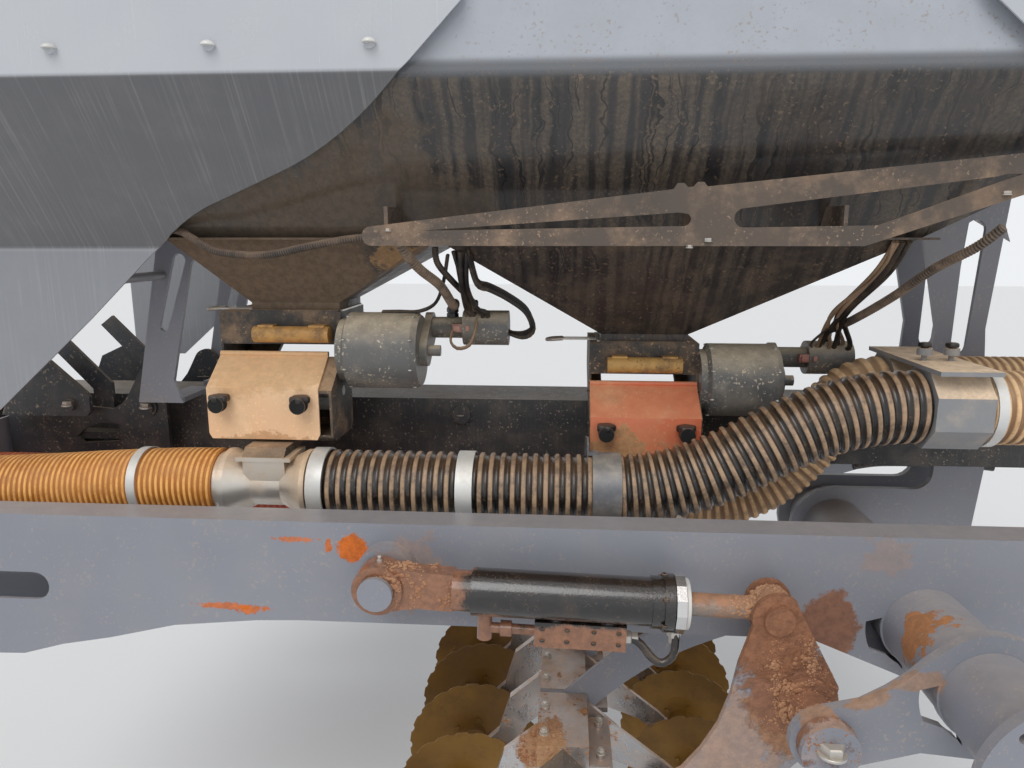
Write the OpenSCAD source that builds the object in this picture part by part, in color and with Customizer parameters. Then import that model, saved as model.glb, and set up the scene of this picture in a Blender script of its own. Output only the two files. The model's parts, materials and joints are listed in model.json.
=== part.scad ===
// Hopper and metering section of a folding seed drill.
// X runs along the machine, Y across it and Z up. The origin is the centre of the front
// flange of the spine beam, where this section bolts to the rest of the chassis.
// The side with the metering units is the near side, at negative Y.

/* [Chassis] */
// Length of the spine beam, flange face to flange face
spine_l = 3200; // [3180:10:3240]
// Width of the spine beam
spine_w = 200; // [160:5:210]
// Height of the spine beam
spine_h = 172; // [150:2:176]
// Wall of the spine beam
spine_wall = 10; // [8:1:14]
// Side of the square end flanges
flange_side = 264; // [260:2:268]
// Thickness of the end flanges
flange_t = 20; // [15:1:30]
// Spacing of the four flange bolts, both ways
flange_pitch = 210; // [206:2:214]
// Radius of the flange bolt holes
flange_hole_r = 11; // [9:0.5:13]

/* [Side frame] */
// Distance of the side beams' outer faces from the centre plane
beam_y = 630; // [620:5:640]
// Width of a side beam
beam_w = 80; // [70:2:90]
// Height of the top face of the side beams
beam_top = -85; // [-90:1:-80]
// Height of a side beam along its straight stretch
beam_h = 241; // [230:1:250]
// Outer radius of the main cross tube
tube_r = 89; // [84:1:92]
// Wall of the main cross tube
tube_wall = 10; // [8:1:14]
// Distance of the main cross tube behind the front flange
tube_x = 2490; // [2480:5:2500]
// Height of the main cross tube's axis
tube_z = -289; // [-294:1:-285]
// Half length of the main cross tube, to its end flange
tube_half = 1120; // [1080:10:1200]
// Distance of the outer plates' outer faces from the centre plane
outer_y = 880; // [870:5:900]
// Thickness of the outer plates
outer_t = 20; // [16:1:25]

/* [Hopper] */
// Front end of the hopper
hopper_x0 = 510; // [500:5:520]
// Rear end of the hopper
hopper_x1 = 3000; // [2980:5:3020]
// Half width of the hopper
hopper_half = 660; // [650:2:670]
// Height where the side walls turn inwards
bend_z = 843; // [835:1:850]
// Height of the hopper rim
hopper_top = 1440; // [1400:10:1600]
// Sheet thickness of the hopper
hopper_wall = 5; // [4:0.5:7]
// Outside radius of the bend in the side wall
bend_r = 100; // [80:5:120]
// Inward run of the near side wall for each unit that it drops
side_run = 0.75; // [0.73:0.01:0.77]
// Inward run of the far side wall for each unit that it drops
far_run = 1.4; // [1.35:0.01:1.45]
// Height of the joint between the tank and its two funnels
ridge_z = 540; // [536:1:550]
// X of the ridge between the funnels, where the partition stands
ridge_x = 1395; // [1380:5:1410]
// Width of an outlet along X
outlet_w = 230; // [220:2:240]
// Depth of an outlet along Y
outlet_d = 200; // [190:2:210]

/* [Metering units] */
// X of the front outlet's centre
unit_front_x = 1010; // [1006:1:1014]
// X of the rear outlet's centre
unit_rear_x = 1915; // [1911:1:1919]
// Height of the front outlet
outlet_front_z = 358; // [354:1:362]
// Height of the rear outlet
outlet_rear_z = 268; // [264:1:272]
// Distance of the front outlet's near edge from the centre plane
outlet_y = 296; // [292:1:300]
// Sideways shift from the front unit to the rear one
unit_shift = 125; // [120:1:130]
// Width of a metering unit's flap
flap_w = 284; // [278:1:286]
// Reach of the front housing ahead of its outlet's centre
reach_front = 198; // [194:1:202]
// Reach of the rear housing ahead of its outlet's centre
reach_rear = 145; // [143:1:148]
// X of the injector under the front unit
inj_front_x = 974; // [970:1:978]
// X of the injector under the rear unit
inj_rear_x = 1904; // [1900:1:1908]
// Radius of the drive can
can_r = 98; // [92:1:100]
// Length of the drive can
can_l = 206; // [198:1:209]
// Radius of the electric motor
motor_r = 46; // [42:1:50]

/* [Air lines] */
// Outer radius of the air hoses over their ribs
hose_r = 86; // [82:1:88]
// Depth of the hose ribs
rib_depth = 7; // [5:0.5:9]
// Rib pitch of the hoses
rib_pitch = 27; // [26:1:40]
// Distance of the near air line from the centre plane
near_line_y = 425; // [420:1:435]
// Distance of the far air line from the centre plane
far_line_y = 215; // [205:1:220]
// Outer radius of the spigots at both ends
spigot_r = 76; // [72:1:78]

/* [Disc carrier] */
// X of the rocker shaft
shaft_x = 2205; // [2200:1:2210]
// Height of the rocker shaft
shaft_z = -397; // [-400:1:-394]
// Radius of the rocker shaft
shaft_r = 41; // [36:1:45]
// X of the tool bar's centre
bar_x = 1712; // [1706:2:1718]
// Height of the tool bar's centre
bar_z = -712; // [-718:1:-706]
// Side of the square tool bar, which stands on its edge
bar_side = 80; // [76:1:82]
// Radius of the cutting discs
disc_r = 195; // [180:1:205]
// Thickness of the cutting discs
disc_t = 5; // [4:0.5:6]
// Depth of the dish of a disc
disc_dish = 22; // [16:1:28]
// Number of scallops on a disc
scallops = 22; // [18:1:26]
// Depth of the scallops
scallop_depth = 6; // [4:0.5:9]
// Height of the disc axes
disc_z = -1000; // [-1006:1:-994]
// X of the front row of discs
row_front_x = 1420; // [1415:1:1425]
// X of the rear row of discs
row_rear_x = 2110; // [2105:1:2115]
// Spacing of the discs in a row
disc_pitch = 230; // [228:1:234]
// Angle of the discs to the direction of travel
disc_yaw = 10; // [8:1:13]

/* [Cylinders] */
// X of the cylinder's base pin
base_x = 1314; // [1308:1:1320]
// Height of the cylinder's base pin
base_z = -191; // [-195:1:-187]
// X of the pin at the rod's eye
rod_pin_x = 2140; // [2136:1:2144]
// Height of the pin at the rod's eye
rod_pin_z = -215; // [-219:1:-211]
// Distance of the cylinders' axes from the centre plane
cyl_y = 712; // [708:1:716]
// Outer radius of the barrel
barrel_r = 50; // [46:1:53]
// Length of the barrel
barrel_l = 376; // [370:2:382]
// Radius of the piston rod
rod_r = 24; // [20:1:26]
// Radius of the pins at both ends
pin_r = 28; // [24:1:30]

/* [Hidden] */
$fn = 48;
small_fn = 24;
fit_gap = 0.05;
seat_gap = 0.3;

paint = [0.30, 0.32, 0.35];
dark_paint = [0.16, 0.17, 0.19];
light_paint = [0.50, 0.52, 0.56];
clay = [0.60, 0.36, 0.24];
steel = [0.70, 0.70, 0.70];
black = [0.08, 0.08, 0.09];
orange = [0.80, 0.45, 0.12];
red = [0.70, 0.15, 0.12];
tan_hose = [0.62, 0.52, 0.40];

// Points along an arc, from angle a0 to a1 in degrees
function arc(c, r, a0, a1, n = 8) =
    [for (i = [0 : n]) [c[0] + r * cos(a0 + (a1 - a0) * i / n), c[1] + r * sin(a0 + (a1 - a0) * i / n)]];
function mix(a, b, t) = a + (b - a) * t;
// Width that a sheet of thickness t takes up along the horizontal, at this run
function across(t, run) = t * sqrt(1 + run * run);

// A profile in X and Z, as a plate from y0 over thickness t
module plate_xz(y0, t) {
    translate([0, y0 + t, 0]) rotate([90, 0, 0]) linear_extrude(t) children();
}
// A profile in Y and Z, as a plate from x0 over thickness t
module plate_yz(x0, t) {
    translate([x0, 0, 0]) rotate([90, 0, 90]) linear_extrude(t) children();
}
module rod_y(x, z, r, y0, y1) {
    translate([x, y1, z]) rotate([90, 0, 0]) cylinder(r = r, h = y1 - y0);
}
module rod_x(y, z, r, x0, x1) {
    translate([x0, y, z]) rotate([0, 90, 0]) cylinder(r = r, h = x1 - x0);
}
module rod_z(x, y, r, z0, z1) {
    translate([x, y, z0]) cylinder(r = r, h = z1 - z0);
}
module slab(x0, x1, y0, y1, z0, z1) {
    translate([x0, y0, z0]) cube([x1 - x0, y1 - y0, z1 - z0]);
}
// The children, and their mirror image across the centre plane
module both_sides() {
    children();
    mirror([0, 1, 0]) children();
}

// Spine beam with its end flanges
module spine_beam() {
    color(dark_paint) difference() {
        union() {
            slab(flange_t, spine_l - flange_t, -spine_w / 2, spine_w / 2, -spine_h / 2, spine_h / 2);
            for (x = [0, spine_l - flange_t])
                slab(x, x + flange_t, -flange_side / 2, flange_side / 2, -flange_side / 2, flange_side / 2);
            rod_y(1411, 41, 26, -spine_w / 2 - 14, -spine_w / 2 + 1);
        }
        slab(-1, spine_l + 1, -spine_w / 2 + spine_wall, spine_w / 2 - spine_wall,
             -spine_h / 2 + spine_wall, spine_h / 2 - spine_wall);
        for (x = [-1, spine_l - flange_t - 1], sy = [-1, 1], sz = [-1, 1])
            rod_x(sy * flange_pitch / 2, sz * flange_pitch / 2, flange_hole_r, x, x + flange_t + 2);
    }
}

// Plates that hang the two cross tubes from the spine
hanger_t = 20;
hanger_y = 60;
front_tube_x = 170;
front_tube_z = -330;
front_tube_r = 57;
module hangers() {
    lobe = tube_r + 34;
    rear = concat(arc([tube_x, tube_z], lobe, 90, 280, 16),
        [[tube_x + 210, tube_z - 100], [tube_x + 380, tube_z - 30], [tube_x + 400, -spine_h / 2],
            [tube_x + 262, -spine_h / 2]],
        arc([tube_x + 212, tube_z + lobe + 50], 50, 0, -90, 5));
    front = concat([[front_tube_x - 90, -spine_h / 2]],
        arc([front_tube_x, front_tube_z], front_tube_r + 25, 190, 350, 10),
        [[front_tube_x + 150, -200], [front_tube_x + 150, -spine_h / 2]]);
    color(paint) both_sides() difference() {
        plate_xz(-hanger_y - hanger_t / 2, hanger_t) {
            polygon(rear);
            polygon(front);
        }
        rod_y(tube_x, tube_z, tube_r + fit_gap, -hanger_y - hanger_t, -hanger_y + hanger_t);
        rod_y(front_tube_x, front_tube_z, front_tube_r + fit_gap, -hanger_y - hanger_t,
            -hanger_y + hanger_t);
    }
}

// Slot beside the tube's seat in a plate, from its far corner round to its foot
slot_out = 36;
slot_in = 4;
module tube_slot(y0, y1) {
    translate([0, y1, 0]) rotate([90, 0, 0]) linear_extrude(y1 - y0)
        polygon(concat(arc([tube_x, tube_z], tube_r + slot_in, 168, 244, 10),
            [[tube_x + (tube_r + (slot_in + slot_out) / 2) * cos(250),
                tube_z + (tube_r + (slot_in + slot_out) / 2) * sin(250)]],
            arc([tube_x, tube_z], tube_r + slot_in + 8, 242, 222, 3),
            arc([tube_x, tube_z], tube_r + slot_out, 206, 176, 6)));
}

// Side beams: a hollow box section with a deep head at the front
beam_x0 = 60;
beam_x1 = 2960;
beam_wall = 8;
head_drop = 120;
module beam_outline(i) {
    z0 = beam_top - beam_h + i;
    polygon(concat(
        [[beam_x0 + i, beam_top - i], [beam_x0 + i, beam_top - beam_h - head_drop + 60]],
        arc([beam_x0 + 60, beam_top - beam_h - head_drop + 60], 60 - i, 200, 270, 4),
        [[420, z0 - head_drop + 8], [520, z0 - head_drop + 36], [640, z0 - 62], [800, z0 - 24],
            [1000, z0 - 4], [1100, z0]],
        [[tube_x - 240, z0]],
        arc([tube_x, tube_z], tube_r + 36 - i, 250, 320, 8),
        [[beam_x1 - 60, beam_top - beam_h + 60 + i]],
        i > 0 ? [[beam_x1 + 10, beam_top - beam_h + 80], [beam_x1 + 10, beam_top - i]]
              : [[beam_x1, beam_top - beam_h + 80], [beam_x1, beam_top]]));
}
module beam_slot() {
    polygon(concat(arc([beam_x0 + 130, -262], 34, 90, 270, 8), arc([470, -262], 34, -90, 90, 8)));
}
boss_r = 66;
pin_out = 34;
module side_beam() {
    difference() {
        plate_xz(-beam_y, beam_w) beam_outline(0);
        plate_xz(-beam_y + beam_wall, beam_w - 2 * beam_wall) beam_outline(beam_wall);
        plate_xz(-beam_y - 1, beam_wall + 2) beam_slot();
        tube_slot(-beam_y - 1, -beam_y + beam_wall + 1);
        rod_y(tube_x, tube_z, tube_r + fit_gap, -beam_y - 1, -beam_y + beam_w + 1);
        rod_y(front_tube_x, front_tube_z, front_tube_r + fit_gap, -beam_y - 1, -beam_y + beam_w + 1);
    }
    // Boss and pin of the cylinder's base, with its retaining cap
    difference() {
        union() {
            rod_y(base_x, base_z, boss_r, -cyl_y + pin_out + 3, -beam_y + 1);
            rod_y(base_x, base_z, pin_r, -cyl_y - pin_out - 10, -beam_y + 1);
            rod_y(base_x, base_z, pin_r + 9, -cyl_y - pin_out - 14, -cyl_y - pin_out - 3);
        }
    }
}
module side_beams() {
    color(paint) both_sides() side_beam();
}

// Main cross tube, whose end flanges carry the folding wings
wing_flange_r = 150;
wing_flange_t = 20;
wing_pcd = 250;
wing_holes = 8;
wing_hole_r = 9;
module rear_cross_tube() {
    color(paint) difference() {
        union() {
            rod_y(tube_x, tube_z, tube_r, -tube_half, tube_half);
            both_sides() rod_y(tube_x, tube_z, wing_flange_r, -tube_half, -tube_half + wing_flange_t);
        }
        rod_y(tube_x, tube_z, tube_r - tube_wall, -tube_half - 1, tube_half + 1);
        both_sides() for (i = [0 : wing_holes - 1])
            rod_y(tube_x + wing_pcd / 2 * cos(i * 360 / wing_holes),
                  tube_z + wing_pcd / 2 * sin(i * 360 / wing_holes),
                  wing_hole_r, -tube_half - 1, -tube_half + wing_flange_t + 1);
    }
}
module front_cross_tube() {
    color(paint) difference() {
        rod_y(front_tube_x, front_tube_z, front_tube_r, -beam_y, beam_y);
        rod_y(front_tube_x, front_tube_z, front_tube_r - 8, -beam_y - 1, beam_y + 1);
    }
}

// Plates outside the side beams, which carry the rocker shaft from the cross tube
module outer_plates() {
    lobe = tube_r + 34;
    tail = shaft_r + 26;
    color(paint) both_sides() difference() {
        plate_xz(-outer_y, outer_t) polygon(concat(
            arc([shaft_x, shaft_z], tail, 100, 270, 10),
            [[tube_x - 110, tube_z - 122]],
            arc([tube_x, tube_z - 8], lobe, 270, 300, 3),
            arc([tube_x + 240, tube_z - 20], 60, -90, 80, 6),
            arc([tube_x, tube_z], lobe, 70, 130, 7),
            [[tube_x - 112, tube_z + 66], [tube_x - 142, tube_z + 34], [tube_x - 180, tube_z + 4],
                [tube_x - 225, tube_z - 24]]));
        rod_y(tube_x, tube_z, tube_r + fit_gap, -outer_y - 1, -outer_y + outer_t + 1);
        rod_y(shaft_x, shaft_z, shaft_r + fit_gap, -outer_y - 1, -outer_y + outer_t + 1);
        tube_slot(-outer_y - 1, -outer_y + outer_t + 1);
    }
}

tank_front_run = (unit_front_x - outlet_w / 2 - hopper_x0) / (bend_z - outlet_front_z);
tank_rear_run = (hopper_x1 - unit_rear_x - outlet_w / 2) / (bend_z - outlet_rear_z);
function front_face_x(z) = hopper_x0 + (bend_z - z) * tank_front_run;
function rear_face_x(z) = hopper_x1 - (bend_z - z) * tank_rear_run;
function near_face_y(z) = -hopper_half + (bend_z - z) * side_run;
function far_face_y(z) = hopper_half - (bend_z - z) * far_run;

// Cross-section of the tank, set in by i; the bends in the sheet are rolled
function tank_section(i, top, run_near, run_far) =
    let (an = atan(run_near), af = atan(run_far),
         zn = bend_z + bend_r * tan(an / 2), zf = bend_z + bend_r * tan(af / 2))
    concat([[-hopper_half + i, top]],
        arc([-hopper_half + bend_r, zn], bend_r - i, 180, 180 + an, 6),
        [[near_face_y(ridge_z) + across(i, run_near), ridge_z],
         [far_face_y(ridge_z) - across(i, run_far), ridge_z]],
        arc([hopper_half - bend_r, zf], bend_r - i, 360 - af, 360, 6),
        [[hopper_half - i, top]]);
// Side view of the tank, set in by i
function tank_side(i, top) = [
    [hopper_x0 + i, top], [hopper_x0 + i, bend_z - i * 0.3],
    [front_face_x(ridge_z) + across(i, tank_front_run), ridge_z],
    [rear_face_x(ridge_z) - across(i, tank_rear_run), ridge_z],
    [hopper_x1 - i, bend_z - i * 0.6], [hopper_x1 - i, top]];
module tank_form(i, top) {
    intersection() {
        plate_yz(hopper_x0 - 10, hopper_x1 - hopper_x0 + 20)
            polygon(tank_section(i, top, side_run, far_run));
        plate_xz(-hopper_half - 10, 2 * hopper_half + 20) polygon(tank_side(i, top));
    }
}
rim_h = 40;
rim_t = 25;
module hopper_tank() {
    color(dark_paint) difference() {
        union() {
            tank_form(0, hopper_top);
            slab(hopper_x0 - rim_t, hopper_x1 + rim_t, -hopper_half - rim_t, hopper_half + rim_t,
                 hopper_top - rim_h, hopper_top);
        }
        tank_form(hopper_wall, hopper_top + 1);
        slab(front_face_x(ridge_z) + across(hopper_wall, tank_front_run),
             rear_face_x(ridge_z) - across(hopper_wall, tank_rear_run),
             near_face_y(ridge_z) + across(hopper_wall, side_run),
             far_face_y(ridge_z) - across(hopper_wall, far_run), ridge_z - 1, ridge_z + 1);
    }
    // Ears and pins of the lids' hinges
    color(dark_paint) for (x = concat(lid_knuckles(lid_front_ends[0], lid_front_ends[1]),
                                      lid_knuckles(lid_rear_ends[0], lid_rear_ends[1]))) {
        for (e = [x - 10, x + knuckle_w + 2])
            plate_yz(e, 8) polygon(concat([[hopper_half + rim_t - 1, hopper_top - rim_h + 4],
                [hopper_half + rim_t - 1, hopper_top - 12], [hopper_half + rim_t + 3, hopper_top - 4]],
                arc([lid_hinge_y, lid_hinge_z], hinge_r - 1, 180, -20, 8),
                    [[lid_hinge_y + 6, hopper_top - 8]]));
        rod_x(lid_hinge_y, lid_hinge_z, hinge_pin_r, x - 10, x + knuckle_w + 10);
    }
}
partition_t = 6;
module hopper_partition() {
    color(dark_paint) plate_yz(ridge_x - partition_t / 2, partition_t)
        polygon(tank_section(hopper_wall + fit_gap, hopper_top - 60, side_run, far_run));
}
// A funnel below the tank, from its flange at the joint down to its outlet
funnel_flange = 26;
outlet_neck = 18;
module funnel(x0, x1, ox, oy, oz) {
    y0 = near_face_y(ridge_z);
    y1 = far_face_y(ridge_z);
    w = hopper_wall;
    difference() {
        union() {
            intersection() {
                plate_xz(y0 - 10, y1 - y0 + 20) polygon([[x0, ridge_z], [x1, ridge_z],
                    [ox + outlet_w / 2, oz + outlet_neck], [ox - outlet_w / 2, oz + outlet_neck]]);
                plate_yz(x0 - 10, x1 - x0 + 20) polygon([[y0, ridge_z], [y1, ridge_z],
                    [oy + outlet_d, oz + outlet_neck], [oy, oz + outlet_neck]]);
            }
            slab(ox - outlet_w / 2, ox + outlet_w / 2, oy, oy + outlet_d, oz, oz + outlet_neck);
            slab(x0 - (x0 < ridge_x ? funnel_flange : 0), x1 + (x1 > ridge_x ? funnel_flange : 0),
                 y0 - funnel_flange, y1 + funnel_flange, ridge_z - w, ridge_z);
        }
        intersection() {
            plate_xz(y0 - 10, y1 - y0 + 20) polygon([[x0 + w * 1.6, ridge_z + 1],
                [x1 - w * 1.6, ridge_z + 1],
                [ox + outlet_w / 2 - w, oz + outlet_neck], [ox - outlet_w / 2 + w, oz + outlet_neck]]);
            plate_yz(x0 - 10, x1 - x0 + 20) polygon([[y0 + w * 1.6, ridge_z + 1],
                [y1 - w * 1.6, ridge_z + 1],
                [oy + outlet_d - w, oz + outlet_neck], [oy + w, oz + outlet_neck]]);
        }
        slab(ox - outlet_w / 2 + w, ox + outlet_w / 2 - w, oy + w, oy + outlet_d - w, oz - 1,
            oz + outlet_neck + 1);
    }
}
module hopper_funnel_front() {
    color(dark_paint) funnel(front_face_x(ridge_z), ridge_x - seat_gap / 2, unit_front_x, -outlet_y,
        outlet_front_z);
}
module hopper_funnel_rear() {
    color(dark_paint) funnel(ridge_x + seat_gap / 2, rear_face_x(ridge_z), unit_rear_x,
        -outlet_y + unit_shift, outlet_rear_z);
}

// Long braces along the hopper, cut out between their chords
brace_y = 600;
brace_t = 10;
brace_lip = 40;
module brace_plate() {
    difference() {
        plate_xz(-brace_y, brace_t) polygon(concat(arc([1293, 543], 20, 90, 270, 8),
            [[2302, 523], [2596, 622], [2850, 700], [2850, 733], [2585, 701], [1985, 641], [1978, 650],
                [1966, 650],
             [1958, 641], [1946, 640], [1938, 648], [1926, 648], [1918, 636]]));
        plate_xz(-brace_y - 1, brace_t + 2)
            polygon(concat([[1398, 554], [1930, 590]], arc([1942, 576], 13, 60, -90, 6)));
        plate_xz(-brace_y - 1, brace_t + 2)
            polygon(concat(arc([2060, 579], 19, 100, 270, 8),
                [[2328, 564], [2590, 662], [2560, 662], [2540, 657]]));
    }
    slab(1310, 2302, -brace_y + brace_t - 1, -brace_y + brace_t + brace_lip, 523, 529);
}
// Tab between a brace and the wall of the hopper, whose face is at y0 and y1
module brace_tab(x, z0, z1, y0, y1) {
    plate_yz(x, 8) polygon([[-brace_y + brace_t - 1, z0], [y0 - seat_gap, z0], [y1 - seat_gap, z1],
                            [-brace_y + brace_t - 1, z1]]);
}
module braces() {
    color(clay) {
        union() {
            brace_plate();
            for (x = [1320, 1960, 2260]) brace_tab(x, 556, 604, near_face_y(556), near_face_y(604));
            brace_tab(2700, 690, 720, near_face_y(690), near_face_y(720));
        }
        mirror([0, 1, 0]) union() {
            brace_plate();
            for (x = [1320, 1960, 2260]) brace_tab(x, 556, 604, -far_face_y(556), -far_face_y(604));
            brace_tab(2700, 690, 720, -far_face_y(690), -far_face_y(720));
        }
    }
}

// Legs under the hopper, which stand on the spine
front_leg_y = 210;
rear_leg_y = 98;
leg_t = 12;
foot_t = 14;
spine_top = spine_h / 2;
module front_legs() {
    z0 = 560;
    z1 = 680;
    color(paint) both_sides() {
        difference() {
            plate_xz(-front_leg_y, leg_t) polygon([[512, spine_top], [640, spine_top], [620, 150],
                [695, 470],
                [front_face_x(ridge_z) - funnel_flange - 6, 500],
                    [front_face_x(ridge_z) - funnel_flange - 6, ridge_z + 8],
                [front_face_x(z0) - seat_gap, z0],
                [front_face_x(z1) - seat_gap, z1], [596, 640], [600, 500]]);
            plate_xz(-front_leg_y - 1, leg_t + 2) polygon(concat(
                arc([664, 480], 18, 170, -10, 8), arc([606, 300], 13, -10, -190, 6)));
        }
        difference() {
            slab(576, 640, -front_leg_y + leg_t - 1, -spine_w / 2 + 60, spine_top, spine_top + foot_t);
            rod_z(612, -front_leg_y + 30, 9, spine_top - 1, spine_top + foot_t + 1);
        }
        // Stay that reaches out to the side sheet
        rod_y(614, 440, 12, -sheet_low_y + sheet_t + seat_gap, -front_leg_y + 1);
    }
}
module rear_legs() {
    z0 = 619;
    z1 = 745;
    color(paint) both_sides() {
        difference() {
            plate_xz(-rear_leg_y, leg_t) polygon([[2690, spine_top], [2850, spine_top], [2830, 300],
                [2862, z1 + 4],
                [rear_face_x(z1), z1 - seat_gap], [rear_face_x(z0), z0 - seat_gap], [2640, 560],
                    [2700, 300]]);
            plate_xz(-rear_leg_y - 1, leg_t + 2) polygon(concat(
                arc([2775, 560], 26, 180, 0, 8), arc([2765, 250], 20, 0, -180, 6)));
        }
        slab(2690, 2850, -rear_leg_y + leg_t - 1, -rear_leg_y + leg_t + 50, spine_top, spine_top + foot_t);
    }
}

// Head plates beside the front of the spine
head_y = 160;
head_t = 14;
bracket_y = 214;
bracket_t = 14;
module head_plates() {
    color(dark_paint) both_sides() {
        difference() {
            plate_xz(-head_y, head_t) polygon([[80, -85], [80, 60], [300, 62], [420, 52], [480, 60],
                [500, 92], [540, 92], [556, 60], [556, -85]]);
            plate_xz(-head_y - 1, head_t + 2)
                polygon([[283, -30], [300, -50], [413, -42], [413, 8], [360, 12], [310, -8]]);
        }
        slab(80, 500, -head_y + head_t - 1, -spine_w / 2, -40, -20);
        // Rocker plate on its pivot
        plate_xz(-head_y - 14, 13) polygon(concat([[571, -60], [571, 142]], arc([531, 142], 40, 0, 150, 9),
            [[478, 128], [462, 100], [440, 74], [412, 58], [388, 50], [383, 38], [400, 20], [430, 10],
                [430, -60]]));
        rod_y(517, 64, 19, -head_y - 26, -head_y + 1);
        rod_y(517, 64, 27, -head_y - 20, -head_y - 13);
        // Bracket plate with its bolt
        plate_xz(-bracket_y, bracket_t) polygon([[104, 44], [150, 150], [264, 202], [362, 112],
            [370, 100], [369, 58], [357, 44]]);
        rod_y(313, 77, 17, -bracket_y - 14, -bracket_y + 1);
        rod_y(313, 77, 9, -bracket_y + bracket_t - 1, -head_y + 1);
        rod_y(150, 52, 9, -bracket_y + bracket_t - 1, -head_y + 1);
        // Flat bar behind them, leaning forwards
        plate_xz(-head_y + head_t - 1, 12)
            polygon([[200, 262], [240, 292], [398, 128], [398, 30], [340, 30], [340, 110]]);
    }
}

// Side sheets over both ends of the hopper, folded twice
sheet_y = 690;
sheet_low_y = 460;
sheet_t = 4;
sheet_fold_z = 850;
sheet_low_z = 520;
sheet_bolt_z = 900;
// Points of a smooth bend from a to c, pulled towards b
function bend(a, b, c, n = 6) = [for (i = [0 : n]) let (t = i / n) (1 - t) * (1 - t) * a + 2 * t * (1 - t) * b + t * t * c];
module sheet_form(x0, x1) {
    run = (sheet_y - sheet_low_y) / (sheet_fold_z - sheet_low_z);
    d = across(sheet_t, run);
    k = sheet_t * tan(atan(run) / 2);
    plate_yz(x0, x1 - x0) polygon([
        [-sheet_y, hopper_top - rim_h - 1], [-sheet_y, sheet_fold_z], [-sheet_low_y, sheet_low_z],
            [-sheet_low_y, 100],
        [-sheet_low_y + sheet_t, 100], [-sheet_low_y + sheet_t, sheet_low_z + k],
            [-sheet_y + sheet_t, sheet_fold_z + k],
        [-sheet_y + sheet_t, hopper_top - rim_h - 1]]);
}
module sheet_spacers(xs) {
    for (x = xs) {
        rod_y(x, sheet_bolt_z, 12, -sheet_y + sheet_t - 1, -hopper_half - seat_gap);
        rod_y(x, sheet_bolt_z, 11, -sheet_y - 7, -sheet_y + 1);
    }
}
module fairings_front() {
    color(light_paint) both_sides() {
        intersection() {
            sheet_form(120, 1600);
            plate_xz(-sheet_y - 10, 400) polygon(concat([[120, hopper_top], [120, 119], [303, 119],
                [563, 345]],
                bend([700, 472], [785, 556], [900, 606]), bend([1075, 670], [1255, 732], [1400, 868], 8),
                [[1503, 974], [1503, hopper_top]]));
        }
        sheet_spacers([698, 1016, 1328]);
    }
}
module fairings_rear() {
    color(light_paint) both_sides() {
        intersection() {
            sheet_form(2300, 3180);
            plate_xz(-sheet_y - 10, 400) polygon(concat([[3180, hopper_top], [3180, 526], [3063, 612]],
                bend([2960, 690], [2800, 775], [2560, 868], 8), [[2437, 974], [2437, hopper_top]]));
        }
        sheet_spacers([2612, 2924]);
    }
}

// Hopper lids, hinged along the far rim
lid_h = 40;
lid_t = 3;
hinge_r = 12;
lid_hinge_y = hopper_half + rim_t + 16;
lid_hinge_z = hopper_top + 14;
knuckle_w = 60;
hinge_pin_r = 6;
function lid_knuckles(x0, x1) = [x0 + 120, x1 - 180];
lid_front_ends = [hopper_x0 - rim_t, ridge_x - 6];
lid_rear_ends = [ridge_x + 6, hopper_x1 + rim_t];
module lid(x0, x1) {
    y0 = -hopper_half - rim_t;
    y1 = hopper_half + rim_t;
    difference() {
        plate_yz(x0, x1 - x0) polygon([[y0, hopper_top + seat_gap], [y0, hopper_top + lid_h],
            [0, hopper_top + lid_h + 45],
                                       [y1, hopper_top + lid_h], [y1, hopper_top + seat_gap]]);
        plate_yz(x0 + rim_t, x1 - x0 - 2 * rim_t)
            polygon([[y0 + rim_t, hopper_top - 1], [y0 + rim_t, hopper_top + lid_h - lid_t],
            [0, hopper_top + lid_h + 45 - lid_t], [y1 - rim_t, hopper_top + lid_h - lid_t],
                [y1 - rim_t, hopper_top - 1]]);
    }
    // Hinge knuckles
    for (x = lid_knuckles(x0, x1))
        difference() {
            union() {
                rod_x(lid_hinge_y, lid_hinge_z, hinge_r, x, x + knuckle_w);
                slab(x, x + knuckle_w, y1 - 1, lid_hinge_y, lid_hinge_z + 3, lid_hinge_z + hinge_r - 1);
            }
            rod_x(lid_hinge_y, lid_hinge_z, hinge_pin_r + fit_gap, x - 1, x + knuckle_w + 1);
        }
    // Handle on the near edge
    xm = (x0 + x1) / 2;
    slab(xm - 70, xm - 58, y0 - 34, y0 + 1, hopper_top + 18, hopper_top + 26);
    slab(xm + 58, xm + 70, y0 - 34, y0 + 1, hopper_top + 18, hopper_top + 26);
    slab(xm - 70, xm + 70, y0 - 42, y0 - 33, hopper_top + 18, hopper_top + 26);
}
module lid_front() {
    color(light_paint) lid(lid_front_ends[0], lid_front_ends[1]);
}
module lid_rear() {
    color(light_paint) lid(lid_rear_ends[0], lid_rear_ends[1]);
}

unit_dx = unit_rear_x - unit_front_x;
unit_dz = outlet_rear_z - outlet_front_z;
line_z = -65;
far_line_z = line_z + unit_dz;
front_y = -410;
back_y = -outlet_y + outlet_d + 10;
top_gap_y = -outlet_y - 14;
flap_knee_z = 169;
flap_top_z = 242;
inlet_top = line_z + 80;
inlet_half = 52;
house_wall = 6;
house_back_y = -232;
gate_t = 4;
gate_h = gate_t + 2 * seat_gap;
// The front unit, and the rear one shifted from it
module at_rear() {
    translate([unit_dx, unit_shift, unit_dz]) children();
}
side_front = 120;
side_rear = 145;
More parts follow.
